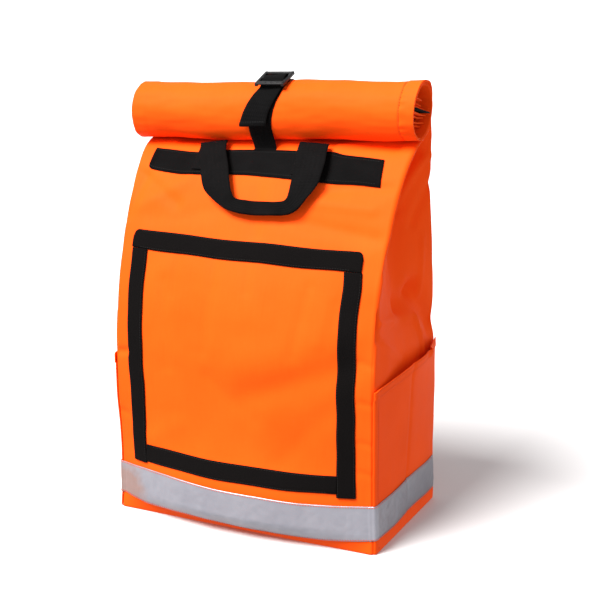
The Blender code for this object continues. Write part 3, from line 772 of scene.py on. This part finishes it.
def tape_grid(s, rise, out):
    """Points of the reflecting tape: rise runs across its width from 0 to 1."""
    s, rise = np.broadcast_arrays(np.asarray(s, float), np.asarray(rise, float))
    x, low, high = np.transpose(TAPE_EDGES)
    sideways = (2.0 * s / FRONT_END - 1.0) * x[-1]
    side_wave = 0.0012 * np.sin(1.3 * s) * (np.abs(sideways) > x[-1])
    low = np.interp(sideways, x, low) + side_wave
    high = np.interp(sideways, x, high) + 0.5 * side_wave
    h = low + (high - low) * rise
    right = (s - RIGHT_START) / SIDE_SPAN
    left = (LEFT_END - OUTLINE - s) / SIDE_SPAN
    share = np.maximum(right, left)
    pocket_rise = (h - POCKET_BOTTOM) / (POCKET_HEM_FRONT - POCKET_BOTTOM)
    step_up = np.clip((share + 0.15) / 0.03, 0.0, 1.0)
    lift = 0.0009 + step_up * (CLOTH + SEAT + 0.0006 + pocket_gape(share, pocket_rise))
    lift += pocket_crease(share, pocket_rise)
    point, normal = wall(s, h, lift + out)
    crinkle = 0.00075 * np.abs(noise_field(point, 0.013, 5.0))
    crinkle += 0.0011 * np.abs(noise_field(point * np.array([1.0, 1.0, 0.6]), 0.034, 6.0))
    calm = np.clip(5.0 * np.minimum(rise, 1.0 - rise), 0.0, 1.0)
    return point + normal * (calm * crinkle)[..., None], normal


def reflective_tape():
    s = np.concatenate([
        np.linspace(LEFT_START - OUTLINE + 0.15, LEFT_END - OUTLINE, 60, endpoint=False),
        np.linspace(LEFT_END - OUTLINE, 0.0, 10, endpoint=False),
        np.linspace(0.0, FRONT_END, 200, endpoint=False),
        np.linspace(FRONT_END, RIGHT_START, 10, endpoint=False),
        np.linspace(RIGHT_START, RIGHT_END - 0.15, 110),
    ])[None, :]
    points, _ = tape_grid(s, np.linspace(0.0, 1.0, 30)[:, None], 0.0)
    made = grid_mesh("tape", points)
    thicken(made, TAPE_THICK, 1.0)
    dressed(made, ["reflective_tape"], SILVER)
    run = np.linspace(-1.5, RIGHT_END - 0.3, 500)
    return [tape_grid(run, edge, TAPE_THICK + 0.0003) for edge in (0.035, 0.965)]


# Outer edges of the loop frame as the photograph shows them: heights and sideways places there
LEFT_EDGE = [(0.080, -0.1668), (0.100, -0.1684), (0.124, -0.1690), (0.175, -0.1690),
             (0.220, -0.1712), (0.265, -0.1730), (0.343, -0.1746), (0.409, -0.1757)]
RIGHT_EDGE = [(0.080, 0.1726), (0.180, 0.1716), (0.280, 0.1711), (0.320, 0.1707),
              (0.365, 0.1712), (0.409, 0.1685)]
FRAME_BOTTOM = 0.0835
FRAME_TOP = 0.4085
FRAME_ROUNDING = 0.008
STRIP_OUT = 0.0006
STRIP_THICK = 0.0022
STITCH_OUT = STRIP_OUT + STRIP_THICK + 0.0001
STITCH_SPOTS = (0.08, 0.92)


def edge_place(edge, h):
    heights, places = zip(*edge)
    return np.interp(h, heights, places) + 0.0006 * np.sin(h / 0.011) * np.sin(h / 0.047)


def upright_strip(name, edge, inward, low):
    h = np.linspace(low, FRAME_TOP - LOOP_TAPE_WIDTH - 0.0002, 180)
    share = np.linspace(0.0, 1.0, 9)
    x = edge_place(edge, h)[:, None] + inward * share[None, :] * LOOP_TAPE_WIDTH
    base, normal = on_front(x, h[:, None], STRIP_OUT)
    made = woven_band(name, base, normal, STRIP_THICK)
    dressed(made, [name], LOOP_TAPE)
    return [on_front(edge_place(edge, h) + inward * spot * LOOP_TAPE_WIDTH, h, STITCH_OUT)
            for spot in STITCH_SPOTS]


def level_strip(name, low, rounded, ends):
    """A strip across the front. Rounded ones lose their outer corners."""
    share = np.concatenate([np.linspace(0.0, 0.05, 10, endpoint=False),
                            np.linspace(0.05, 0.95, 150, endpoint=False), np.linspace(0.95, 1.0, 10)])
    x = ends[0] + (ends[1] - ends[0]) * share
    top = np.full_like(x, low + LOOP_TAPE_WIDTH) + 0.0005 * np.sin(x / 0.021)
    bottom = np.full_like(x, low) + 0.0005 * np.sin(x / 0.017)
    if rounded:
        near = np.clip(FRAME_ROUNDING - np.minimum(x - ends[0], ends[1] - x), 0.0, FRAME_ROUNDING)
        top -= FRAME_ROUNDING - np.sqrt(FRAME_ROUNDING**2 - near**2)
    across = np.linspace(0.0, 1.0, 9)
    h = bottom[:, None] + (top - bottom)[:, None] * across[None, :]
    base, normal = on_front(x[:, None], h, STRIP_OUT)
    made = woven_band(name, base, normal, STRIP_THICK)
    dressed(made, [name], LOOP_TAPE)
    inner = slice(8, -8)
    return [on_front(x[inner], (bottom + (top - bottom) * spot)[inner], STITCH_OUT)
            for spot in STITCH_SPOTS]


def loop_frame():
    left = edge_place(LEFT_EDGE, FRAME_TOP), edge_place(LEFT_EDGE, FRAME_BOTTOM)
    right = edge_place(RIGHT_EDGE, FRAME_TOP), edge_place(RIGHT_EDGE, FRAME_BOTTOM)
    lines = level_strip("loop_strip_top", FRAME_TOP - LOOP_TAPE_WIDTH, True, (left[0], right[0]))
    inset = LOOP_TAPE_WIDTH - 0.0002
    bottom_ends = left[1] + inset, right[1] - inset
    lines += level_strip("loop_strip_bottom", FRAME_BOTTOM + 0.0010, False, bottom_ends)
    lines += upright_strip("loop_strip_left", LEFT_EDGE, 1.0, FRAME_BOTTOM - 0.0015)
    lines += upright_strip("loop_strip_right", RIGHT_EDGE, -1.0, FRAME_BOTTOM - 0.0035)
    return lines


BAND_TOP = 0.518
BAND_OUT = 0.0006

# The band's edges: sideways place and height at even steps along it
BAND_TOP_EDGE = [
    (-0.1790, 0.5168), (-0.1650, 0.5157), (-0.1400, 0.5146), (-0.1150, 0.5141), (-0.0470, 0.5178),
    (0.0220, 0.5183), (0.0880, 0.5186), (0.1110, 0.5160), (0.1390, 0.5147), (0.1680, 0.5128),
]
BAND_LOW_EDGE = [
    (-0.1800, 0.4915), (-0.1760, 0.4891), (-0.1500, 0.4857), (-0.1250, 0.4846), (-0.1010, 0.4855),
    (-0.0320, 0.4885), (0.0370, 0.4866), (0.1030, 0.4847), (0.1380, 0.4852), (0.1715, 0.4840),
]


def band_point(share, rise, out):
    """Points of the front band: share runs along it from the left, rise up its width."""
    edges = [spline_at(np.linspace(0.0, 1.0, len(edge)), np.array(edge), np.ravel(share))
             for edge in (BAND_LOW_EDGE, BAND_TOP_EDGE)]
    rise = np.asarray(rise, float)[..., None]
    return on_front(*np.moveaxis(edges[0] + (edges[1] - edges[0]) * rise, -1, 0), out)


def front_band():
    share = np.linspace(0.0, 1.0, 170)
    rows = [band_point(share, rise, BAND_OUT) for rise in np.linspace(0.0, 1.0, 9)]
    base, normal = (np.stack(part, axis=1) for part in zip(*rows))
    webbing_piece("band", base, normal, "front_band")
    over = BAND_OUT + WEBBING + 0.0001
    return [band_point(share[2:-2], level, over) for level in (0.10, 0.90)]


# The hanging handle from its left foot to its right, in millimetres: sideways place and height of
# its outer and inner edges, how far it stands off the front, and its thickness, folded in the grip
HANDLE_ROWS = [
    (-109, 491, -71, 491.5, 3, 1.8), (-109, 511, -71, 513, 3.1, 1.8),
    (-109, 517.5, -70.5, 520.5, 3.8, 1.8), (-108, 520.5, -69, 524, 7.6, 1.8),
    (-106, 518, -67, 521.5, 12, 1.8), (-102, 511, -62.5, 514.5, 13, 1.8),
    (-90.7, 491.6, -48, 493.6, 13.5, 1.8), (-81.6, 474.3, -39.1, 476.7, 13.8, 1.8),
    (-73.5, 463.5, -31.8, 464.5, 14, 1.9), (-57, 453, -25.5, 457.8, 14.2, 2.6),
    (-42.7, 446.1, -21, 456.4, 14.4, 3.6), (-28, 441.4, -16, 456, 14.5, 4),
    (-8, 438.9, -2, 455.8, 14.5, 4), (14, 438.6, 14, 455.5, 14.5, 4), (35, 439.8, 32, 455.8, 14.5, 4),
    (55, 442.2, 44.5, 457, 14.6, 4), (68, 447.2, 49.5, 458.6, 14.8, 3.6),
    (79.7, 460.7, 52.4, 463, 15.2, 2.4), (87.6, 472.3, 53.1, 470.4, 15.6, 1.9),
    (92.4, 483.4, 52.8, 481.5, 16, 1.8), (93.3, 499.6, 50.6, 497.9, 15.8, 1.8),
    (91, 512, 47, 512.5, 15, 1.8), (88.5, 519, 44.5, 520.5, 12.5, 1.8),
    (86, 522, 42.5, 523.5, 8.2, 1.8), (84, 518.5, 42, 520, 4, 1.8), (84, 511, 42.5, 512, 3.1, 1.8),
    (84, 491, 43.5, 491, 3, 1.8),
]


def carry_handle():
    columns = MILLIMETRE * spline(HANDLE_ROWS, 330).T
    outer_x, outer_h, inner_x, inner_h, off = columns[:5, :, None]
    share = np.linspace(0.0, 1.0, 9)[None, :]
    base, _ = on_front(outer_x + (inner_x - outer_x) * share, outer_h + (inner_h - outer_h) * share, off)
    run = np.gradient(base, axis=0)
    across = base[:, -1:] - base[:, :1]
    facing = unit(np.cross(np.broadcast_to(across, run.shape), run))
    webbing_piece("handle", base, facing, "carry_handle", columns[5])


# The rolled mouth, its strap and its buckle

VISUAL_TURNS = 1.44
VISUAL_PITCH = 0.0036
LAYER = 0.0013
LAYER_GAP = 0.0005
SEAM_FROM_END = 0.021
STRAP_PRESS = 0.0022


def roll_middle():
    depth = 0.5 * (SECTIONS[-1].front + SECTIONS[-1].back) * DEPTH - 0.5 * ROLL_DEPTH
    return depth, BODY_HEIGHT + SEAT


def roll_point(x, turn, out=0.0):
    """The roll's cloth at a sideways place x of the bag; turn counts turns from the neck."""
    x, turn, out = np.broadcast_arrays(*(np.asarray(value, float) for value in (x, turn, out)))
    depth, height = roll_middle()
    angle = 2.0 * math.pi * turn
    share = x / ROLL_WIDTH
    ends = np.clip(np.abs(share) * 2.0 - 0.86, 0.0, 1.0) / 0.14
    flat = np.stack([x, 0.11 * np.cos(angle), 0.11 * np.sin(angle)], axis=-1)
    soft = 0.0016 * noise_field(flat, 0.075, 8.0) + 0.0006 * noise_field(flat, 0.026, 9.0)
    press = STRAP_PRESS * np.exp(-(((x + 0.008) / 0.030) ** 2)) * np.clip(1.2 - turn, 0.0, 1.0)
    pinch = np.exp(-(((share + 0.36) / 0.03) ** 2)) * (np.sin(angle) < -0.3)
    squeeze = 0.0022 * np.clip(share + 0.5, 0.0, 1.0) * pinch
    shrink = VISUAL_PITCH * np.maximum(turn, 0.0)
    grow = out + soft - press - squeeze - shrink + 0.0012 * ends * np.cos(angle - 0.6)
    wide = 0.5 * ROLL_DEPTH + grow
    tall = 0.5 * ROLL_HEIGHT * (1.0 + 0.020 * np.sin(8.0 * share + 1.2)) + grow
    y = depth + wide * np.cos(angle)
    z = height + tall * np.sin(angle) + ROLL_TILT * x + 0.0012 * np.sin(11.0 * share)
    return np.stack([x, y, z], axis=-1)


def roll_end(turn, side):
    """How far the cloth's cut end strays from the roll's end, by turn."""
    return side * (0.0016 * np.sin(5.0 * turn + side) - 0.0045 * np.clip(turn - 0.95, 0.0, 1.0)
                   - 0.0046 * np.clip(1.0 - turn / 0.16, 0.0, 1.0))


def end_seam(x, turn):
    """A puckered seam near the roll's right end, and a plain step near its left."""
    total = np.zeros(np.broadcast(x, turn).shape)
    for side, depth in ((1.0, 0.0011), (-1.0, 0.0)):
        seam = side * (0.5 * ROLL_WIDTH - SEAM_FROM_END)
        beyond = side * (x - seam)
        total = total - depth * np.exp(-((beyond / 0.0016) ** 2))
        pucker = np.sin(2.0 * math.pi * 19.0 * turn + 2.0 * np.sin(31.0 * turn))
        total = total + 0.6 * depth * pucker * np.exp(-((beyond / 0.009) ** 2)) * (beyond > 0.0)
        total = total + 0.0006 * (1.0 / (1.0 + np.exp(-beyond / 0.0012)))
    return total


# Cloth folded inside the roll: its place above or below the strip, half its width as a share of
# the strip's, its waves, and how far its ends lie inside the roll's ends
INNER_LAYERS = [
    (0.0215, 0.55, 0.0010, 0.011), (0.0150, 0.72, 0.0014, 0.007), (0.0085, 0.84, 0.0010, 0.010),
    (0.0035, 0.90, 0.0006, 0.005), (-0.0045, 0.90, 0.0006, 0.006), (-0.0100, 0.82, 0.0012, 0.009),
    (-0.0160, 0.70, 0.0014, 0.008), (-0.0220, 0.52, 0.0010, 0.012),
]


def rolled_mouth():
    """Both layers of the mouth's cloth, wound forward over the top to the stiff strip."""
    share = np.concatenate([np.linspace(0.0, 0.09, 26, endpoint=False),
                            np.linspace(0.09, 0.90, 60, endpoint=False), np.linspace(0.90, 1.0, 34)])
    turns = np.linspace(0.0, VISUAL_TURNS, 150)[:, None]
    x = (share[None, :] - 0.5) * ROLL_WIDTH
    stray = np.clip(share * 12.0 - 11.0, 0.0, 1.0)[None, :] * roll_end(turns, 1.0)
    stray = stray + np.clip(1.0 - share * 12.0, 0.0, 1.0)[None, :] * roll_end(turns, -1.0)
    pieces = []
    for layer, out in enumerate((0.5 * (LAYER + LAYER_GAP), -0.5 * (LAYER + LAYER_GAP))):
        points = roll_point(x + stray * (1.0 + 0.5 * layer), turns, out + end_seam(x, turns))
        sheet = grid_mesh(f"roll_layer_{layer}", points)
        pieces.append(thicken(sheet, LAYER, 0.0, 0.0003))
    for step, (drop, half, wavy, recess) in enumerate(INNER_LAYERS):
        reach = np.linspace(-half, half - 0.05, 14)[:, None]
        x_in = np.linspace(-0.5, 0.5, 40)[None, :] * (ROLL_WIDTH - 2.0 * recess)
        sway = wavy * (np.sin(3.2 * reach + step) + np.sin(23.0 * x_in + 2.0 * step))
        sheet = grid_mesh(f"roll_fold_{step}", strip_point(x_in, reach, drop + sway))
        pieces.append(thicken(sheet, LAYER, 0.0))
    made = joined("roll", pieces)
    dressed(made, ["rolled_mouth"], ORANGE)
    seam = 0.5 * ROLL_WIDTH - SEAM_FROM_END - 0.0005
    points = roll_point(seam, np.linspace(0.12, 0.86, 200), 0.0012 + LAYER_GAP)
    depth, height = roll_middle()
    return [(points, points - np.array([seam, depth, height + ROLL_TILT * seam]))]


# The stiff strip lies aslant across the roll's inside, from its front top to its lower back
STRIP_FRONT = (-0.0285, 0.0075)
STRIP_BACK = (0.0270, -0.0060)
STRIP_ENDS_AT = 0.4985


def strip_point(x, reach, off):
    """A place on the strip's plane: reach from -1 at its front edge to 1 at its back edge."""
    x, reach, off = np.broadcast_arrays(*(np.asarray(value, float) for value in (x, reach, off)))
    depth, height = roll_middle()
    share = 0.5 * (reach + 1.0)
    y = depth + STRIP_FRONT[0] + (STRIP_BACK[0] - STRIP_FRONT[0]) * share - 0.35 * off
    z = height + STRIP_FRONT[1] + (STRIP_BACK[1] - STRIP_FRONT[1]) * share + off + ROLL_TILT * x
    return np.stack([x, y, z], axis=-1)


def mouth_strip():
    x = np.linspace(-STRIP_ENDS_AT, STRIP_ENDS_AT, 30)[:, None] * ROLL_WIDTH
    base = strip_point(x, np.linspace(-1.0, 0.98, 7)[None, :], -0.0008)
    normal = np.broadcast_to(unit(np.array([0.0, 0.35, 1.0])), base.shape)
    webbing_piece("mouth_stiffener", base, normal, "mouth_strip", 0.0016)


CLOSURE_FOOT = -0.0098
STRAP_ON_ROLL = 0.0016
BUCKLE_TURN = 0.298
BUCKLE_REACH = 0.06
BUCKLE_X = 0.0005
BUCKLE_OUT = 0.0104
BUCKLE_LENGTH = 0.0375
BUCKLE_WIDTH = 0.0440
STRAP_TURNS = [(0.615, -0.0130), (0.560, -0.0118), (0.460, -0.0070), (0.360, 0.0010), (0.298, 0.0018)]


def closure_grid(turns, middles, width, out, spots):
    """A stretch of the closure strap on the roll."""
    turn = np.asarray(turns)[:, None]
    x = np.asarray(middles)[:, None] + spots[None, :] * np.asarray(width).reshape(-1, 1)
    base = roll_point(x, turn, out)
    normal = unit(roll_point(x, turn, np.asarray(out) + 0.002) - base)
    return base, normal


def closure_front():
    """From the front band up the roll to the buckle."""
    spots = np.linspace(-0.5, 0.5, 9)
    heights = np.linspace(BAND_TOP - 0.004, BAND_TOP + 0.004, 24)
    x = CLOSURE_FOOT + spots[None, :] * LOWER_STRAP_WIDTH
    foot, foot_normal = on_front(x, heights[:, None], -0.0004)
    turns, middles = spline(STRAP_TURNS, 60).T
    climb, climb_normal = closure_grid(turns, middles, LOWER_STRAP_WIDTH, STRAP_ON_ROLL, spots)
    base = np.concatenate([foot[::6], climb[2::6]])
    normal = np.concatenate([foot_normal[::6], climb_normal[2::6]])
    base, normal = spline(base, 120), unit(spline(normal, 120))
    webbing_piece("closure_front", base, normal, "closure_strap_front")


# The strap's loose end, from its hem up to the buckle: turn of the roll, middle, width, how far it
# stands off the roll, and thickness
TAIL_ROWS = [
    (0.550, -0.0190, 0.0415, 0.0070, 0.0036), (0.538, -0.0190, 0.0410, 0.0068, 0.0036),
    (0.524, -0.0182, 0.0395, 0.0062, 0.0020), (0.490, -0.0155, 0.0388, 0.0054, 0.0018),
    (0.450, -0.0110, 0.0388, 0.0050, 0.0018), (0.400, -0.0045, 0.0378, 0.0046, 0.0018),
    (0.354, 0.0000, 0.0355, 0.0048, 0.0018), (0.336, 0.0008, 0.0340, 0.0070, 0.0018),
    (0.304, 0.0014, 0.0336, 0.0128, 0.0018), (0.284, 0.0014, 0.0336, 0.0128, 0.0018),
    (0.262, 0.0014, 0.0336, 0.0072, 0.0018), (0.250, 0.0014, 0.0336, 0.0040, 0.0018),
]
HEM_TURN = 0.531
HEM_MIDDLE = -0.0190
HEM_WIDTH = 0.0410


def closure_tail():
    turn, middle, wide, out, thick = spline(TAIL_ROWS, 90).T
    spots = np.linspace(-0.5, 0.5, 9)
    base, normal = closure_grid(turn, middle, wide, out[:, None], spots)
    webbing_piece("closure_loose_end", base, normal, "closure_tail", thick)
    x = HEM_MIDDLE + np.linspace(-0.46, 0.46, 30) * HEM_WIDTH
    points = roll_point(x, HEM_TURN, 0.0090)
    return [(points, unit(roll_point(x, HEM_TURN, 0.0110) - points))]


ANCHOR_BOTTOM = 0.440
ANCHOR_WIDTH = 0.038
ANCHOR_LENGTH = 0.270


def closure_back():
    """From the buckle over the roll and down the neck to the back's anchor band."""
    spots = np.linspace(-0.5, 0.5, 9)
    turns = np.linspace(0.285, 0.035, 40)
    middles = 0.0018 * np.linspace(1.0, 0.0, 40)
    over, over_normal = closure_grid(turns, middles, WEBBING_WIDTH * 0.93, 0.0018, spots)
    heights = np.linspace(BODY_HEIGHT - 0.004, ANCHOR_BOTTOM + ANCHOR_WIDTH - 0.004, 40)
    x = spots[None, :] * WEBBING_WIDTH
    down, down_normal = on_back(x, heights[:, None], 0.0030)
    base = np.concatenate([over[::5], down[1::6]])
    normal = np.concatenate([over_normal[::5], down_normal[1::6]])
    base, normal = spline(base, 150), unit(spline(normal, 150))
    webbing_piece("closure_back", base, normal, "closure_strap_back")


def rounded_box(name, middle, axes, size, bevel):
    """A box with rounded edges: axes are its own three directions, size its three lengths."""
    mesh = bmesh.new()
    bmesh.ops.create_cube(mesh, size=1.0)
    bmesh.ops.scale(mesh, vec=size, verts=mesh.verts)
    bmesh.ops.bevel(mesh, geom=list(mesh.edges), offset=bevel, segments=3, profile=0.6, affect="EDGES")
    turn = Matrix([[axes[column][row] for column in range(3)] for row in range(3)]).to_4x4()
    mesh.transform(Matrix.Translation(Vector(middle)) @ turn)
    data = bpy.data.meshes.new(name)
    mesh.to_mesh(data)
    mesh.free()
    data.uv_layers.new(name="cloth")
    data.shade_smooth()
    return linked(name, data)


RAIL = 0.0045


def ladder_lock(name, middle, along, across, length, width, node_name):
    """A moulded strap buckle: two rails, a lifted lip at its front, and crossbars."""
    along, across = unit(np.asarray(along, float)), unit(np.asarray(across, float))
    axes = across, along, np.cross(across, along)
    inner = width - 2.0 * RAIL
    rail = 0.5 * (width - RAIL)
    front, back = -0.5 * length, 0.5 * length
    parts = [
        ((-rail, 0.0, 0.0), (RAIL, length, 0.0046), 0.0011),
        ((rail, 0.0, 0.0), (RAIL, length, 0.0046), 0.0011),
        ((0.0, front + 0.0032, 0.0014), (width - 0.002, 0.0074, 0.0032), 0.0014),
        ((0.0, 0.0010, 0.0006), (inner + 0.002, 0.0042, 0.0030), 0.0012),
        ((0.0, back - 0.0026, 0.0), (width - 0.001, 0.0050, 0.0042), 0.0013),
    ]
    ridge = (0.18 * inner, 0.0030, 0.0008)
    parts += [((share * inner, front + 0.0022, 0.0030), ridge, 0.0003) for share in (-0.25, 0.0, 0.25)]
    pieces = [
        rounded_box(name, middle + sum(axis * shift for axis, shift in zip(axes, place)), axes, size, bevel)
        for place, size, bevel in parts
    ]
    return dressed(joined(name, pieces), [node_name], PLASTIC)


def strap_buckle():
    turns = (BUCKLE_TURN + BUCKLE_REACH, BUCKLE_TURN, BUCKLE_TURN - BUCKLE_REACH)
    low, middle, high = (roll_point(BUCKLE_X, turn, BUCKLE_OUT) for turn in turns)
    along = high - low
    across = np.array([1.0, 0.05, ROLL_TILT + 0.02])
    across -= unit(along) * (across @ unit(along))
    ladder_lock("buckle", middle, along, across, BUCKLE_LENGTH, BUCKLE_WIDTH, "strap_buckle")


# The back: anchor band, padded shoulder straps, adjusters and their webbing

SHOULDER_SPREAD = 0.095
SHOULDER_WIDTH = 0.062
SHOULDER_DROP = 0.250
SHOULDER_STANDOFF = 0.042
PAD_SEAM = 0.84

# A shoulder pad's middle line, as shares of its drop, its stand-off and its place sideways
SHOULDER_ROWS = [
    (0.00, 0.00, 0.68), (0.06, 0.05, 0.72), (0.14, 0.30, 0.80), (0.26, 0.66, 0.90),
    (0.42, 0.92, 0.98), (0.60, 1.00, 1.02), (0.80, 0.90, 1.04), (1.00, 0.68, 1.06),
]
FOOT_SPREAD = 0.125
FOOT_TOP = 0.045
FOOT_BOTTOM = 0.020
ADJUSTER_LENGTH = 0.024
SHOULDER_WEBBING_WIDTH = 0.025
ADJUSTER_WIDTH = 0.034


def back_anchor():
    share = np.linspace(-0.5, 0.5, 120)[:, None]
    rise = np.linspace(0.0, 1.0, 9)[None, :]
    base, normal = on_back(share * ANCHOR_LENGTH, ANCHOR_BOTTOM + rise * ANCHOR_WIDTH, 0.0006)
    webbing_piece("anchor", base, normal, "back_anchor")
    x = np.linspace(-0.49, 0.49, 200) * ANCHOR_LENGTH
    return [on_back(x, ANCHOR_BOTTOM + level * ANCHOR_WIDTH, 0.0026) for level in (0.1, 0.9)]


def shoulder_path(mirror, count):
    """The pad's middle line, off the back, from the anchor band down to its adjuster."""
    rows = []
    for drop, off, sideways in SHOULDER_ROWS:
        h = ANCHOR_BOTTOM + 0.5 * ANCHOR_WIDTH - drop * SHOULDER_DROP
        x = mirror * sideways * SHOULDER_SPREAD
        flat = base_point(back_place(x, h), h)
        rows.append(flat + np.array([0.0, 0.0036 + off * SHOULDER_STANDOFF, 0.0]))
    return spline(rows, count)


def shoulder_pad(side, mirror):
    """A soft strap with a stuffed middle, thin sewn edges and rounded ends."""
    path = shoulder_path(mirror, 110)
    run = unit(np.gradient(path, axis=0))
    across = np.array([1.0, 0.0, 0.0])
    out = unit(np.cross(run, np.broadcast_to(-across, run.shape)))
    share = np.linspace(0.0, 1.0, len(path))[:, None]
    end = np.minimum(share, 1.0 - share) * SHOULDER_DROP / 0.020
    round_off = np.sqrt(np.clip(1.0 - (1.0 - np.clip(end, 0.0, 1.0)) ** 2, 0.0, 1.0))
    taper = 1.0 - 0.30 * np.clip(share - 0.55, 0.0, 1.0)
    half = 0.5 * SHOULDER_WIDTH * taper * (0.72 + 0.28 * round_off)
    turn = np.linspace(0.0, 2.0 * math.pi, 40, endpoint=False)[None, :]
    flat = np.sign(np.cos(turn)) * np.abs(np.cos(turn)) ** 0.75
    puff = 0.0012 + 0.0036 * np.clip(1.0 - np.abs(flat) ** 5, 0.0, 1.0) * np.clip(end * 0.8, 0.25, 1.0)
    stitched = 0.0011 * np.exp(-(((np.abs(flat) - PAD_SEAM) / 0.05) ** 2))
    lift = np.sign(np.sin(turn)) * (puff - stitched) * np.abs(np.sin(turn)) ** 0.35 + 0.0042
    points = path[:, None, :] + across * (flat * half)[..., None] + out[:, None, :] * lift[..., None]
    wrinkle = 0.0009 * noise_field(points * np.array([0.7, 1.0, 1.6]), 0.018, 12.0)
    points = points + out[:, None, :] * (wrinkle * np.sign(np.sin(turn)))[..., None]
    made = grid_mesh(f"pad_{side}", points[:, ::-1] if mirror else points, closed=True, capped=True)
    dressed(made, [f"shoulder_pad_{side}"], ORANGE)
    inner = slice(6, -6)
    return [(path[inner] + across * (edge * half[inner]) + out[inner] * 0.0078, out[inner])
            for edge in (-PAD_SEAM, PAD_SEAM)]


def shoulder_hardware(side, mirror):
    """The adjuster under the pad, and the webbing from it to the foot of the bag."""
    path = shoulder_path(mirror, 60)
    end, run = path[-1], unit(path[-1] - path[-6])
    middle = end + run * (0.5 * ADJUSTER_LENGTH + 0.0005) + np.array([0.0, 0.0035, 0.0])
    across = np.array([-1.0, 0.0, 0.0])
    node_name = f"strap_adjuster_{side}"
    ladder_lock(f"adjuster_{side}", middle, -run, -across, ADJUSTER_LENGTH, ADJUSTER_WIDTH, node_name)
    start = end - run * 0.012 + np.array([0.0, 0.0014, 0.0])
    below = middle + run * (0.5 * ADJUSTER_LENGTH + 0.004)
    feet = [on_back(mirror * FOOT_SPREAD, h, 0.0008)[0] for h in (FOOT_TOP, FOOT_BOTTOM)]
    sag = np.array([0.0, 0.004, -0.002])
    knots = [start, middle - np.array([0.0, 0.002, 0.0]), below]
    knots += [below + (feet[0] - below) * share + sag * math.sin(math.pi * share)
              for share in (0.3, 0.6, 0.85)]
    line = spline(knots + feet, 110)
    run_line = unit(np.gradient(line, axis=0))
    normal = unit(np.cross(run_line, np.array([1.0, 0.0, 0.0])))
    normal *= np.where(normal[:, 1:2] < 0.0, -1.0, 1.0)
    spots = np.linspace(-0.5, 0.5, 7)
    base = line[:, None, :] + np.array([1.0, 0.0, 0.0]) * (spots * SHOULDER_WEBBING_WIDTH)[None, :, None]
    normal = np.broadcast_to(normal[:, None, :], base.shape)
    webbing_piece(f"webbing_{side}", base, normal, f"shoulder_webbing_{side}")
    h = np.linspace(FOOT_BOTTOM + 0.003, FOOT_TOP - 0.003, 20)
    return [on_back(mirror * FOOT_SPREAD + spot * SHOULDER_WEBBING_WIDTH, h, 0.0030)
            for spot in (-0.38, 0.38)]


# Camera, light and floor

def camera():
    data = bpy.data.cameras.new("camera")
    data.sensor_width = SENSOR_MM
    data.lens = FOCAL_PIXELS * SENSOR_MM / PICTURE_PIXELS
    data.clip_end = 200.0
    made = bpy.data.objects.new("camera", data)
    azimuth = math.radians(CAMERA_AZIMUTH)
    made.location = (
        CAMERA_DISTANCE * math.sin(azimuth), -CAMERA_DISTANCE * math.cos(azimuth), CAMERA_HEIGHT)
    made.rotation_euler = (math.radians(90.0 + CAMERA_PITCH), 0.0, math.radians(CAMERA_YAW))
    bpy.context.collection.objects.link(made)
    bpy.context.scene.camera = made


SUN_AZIMUTH = -30.0
SUN_HEIGHT = 51.0
SUN_SOFTNESS = 30.0
SUN_STRENGTH = 8.2
SKY_STRENGTH = 0.74
FLOOR_REACH = 60.0
SKY_COLOUR = (1.0, 0.99, 0.985, 1.0)
SUN_COLOUR = (1.0, 0.985, 0.96)
FLOOR_COLOUR = (0.58, 0.58, 0.59, 1.0)


def studio():
    scene = bpy.context.scene
    scene.view_settings.view_transform = "Standard"
    scene.world = bpy.data.worlds.new("studio")
    scene.world.use_nodes = True
    background = scene.world.node_tree.nodes["Background"]
    background.inputs["Color"].default_value = SKY_COLOUR
    background.inputs["Strength"].default_value = SKY_STRENGTH
    data = bpy.data.lights.new("key", "SUN")
    data.energy = SUN_STRENGTH
    data.angle = math.radians(SUN_SOFTNESS)
    data.color = SUN_COLOUR
    key = bpy.data.objects.new("key", data)
    azimuth, height = math.radians(SUN_AZIMUTH), math.radians(SUN_HEIGHT)
    level = math.cos(height)
    aim = Vector((-math.sin(azimuth) * level, math.cos(azimuth) * level, -math.sin(height)))
    key.rotation_euler = aim.to_track_quat("-Z", "Y").to_euler()
    bpy.context.collection.objects.link(key)
    mesh = bpy.data.meshes.new("floor")
    corners = [(x * FLOOR_REACH, y * FLOOR_REACH, 0.0) for x, y in ((-1, -1), (1, -1), (1, 1), (-1, 1))]
    mesh.from_pydata(corners, [], [(0, 1, 2, 3)])
    finish, _, shader = new_material("studio_floor", 0.9, 0.05)
    shader.inputs["Base Color"].default_value = FLOOR_COLOUR
    mesh.materials.append(finish)
    floor = linked("floor", mesh)
    floor.visible_diffuse = False


def build():
    camera()
    studio()
    bag_shell()
    orange_lines = side_pocket("right", RIGHT_START, False)
    orange_lines += side_pocket("left", LEFT_START, True)
    silver_lines = reflective_tape()
    black_lines = loop_frame()
    black_lines += front_band()
    carry_handle()
    orange_lines += rolled_mouth()
    mouth_strip()
    closure_front()
    black_lines += closure_tail()
    closure_back()
    strap_buckle()
    black_lines += back_anchor()
    for side, mirror in (("right", 1.0), ("left", -1.0)):
        orange_lines += shoulder_pad(side, mirror)
        black_lines += shoulder_hardware(side, mirror)
    stitching("orange_stitches", orange_lines, ORANGE_THREAD)
    stitching("tape_stitches", silver_lines, ORANGE_THREAD)
    stitching("black_stitches", black_lines, BLACK_THREAD)


build()
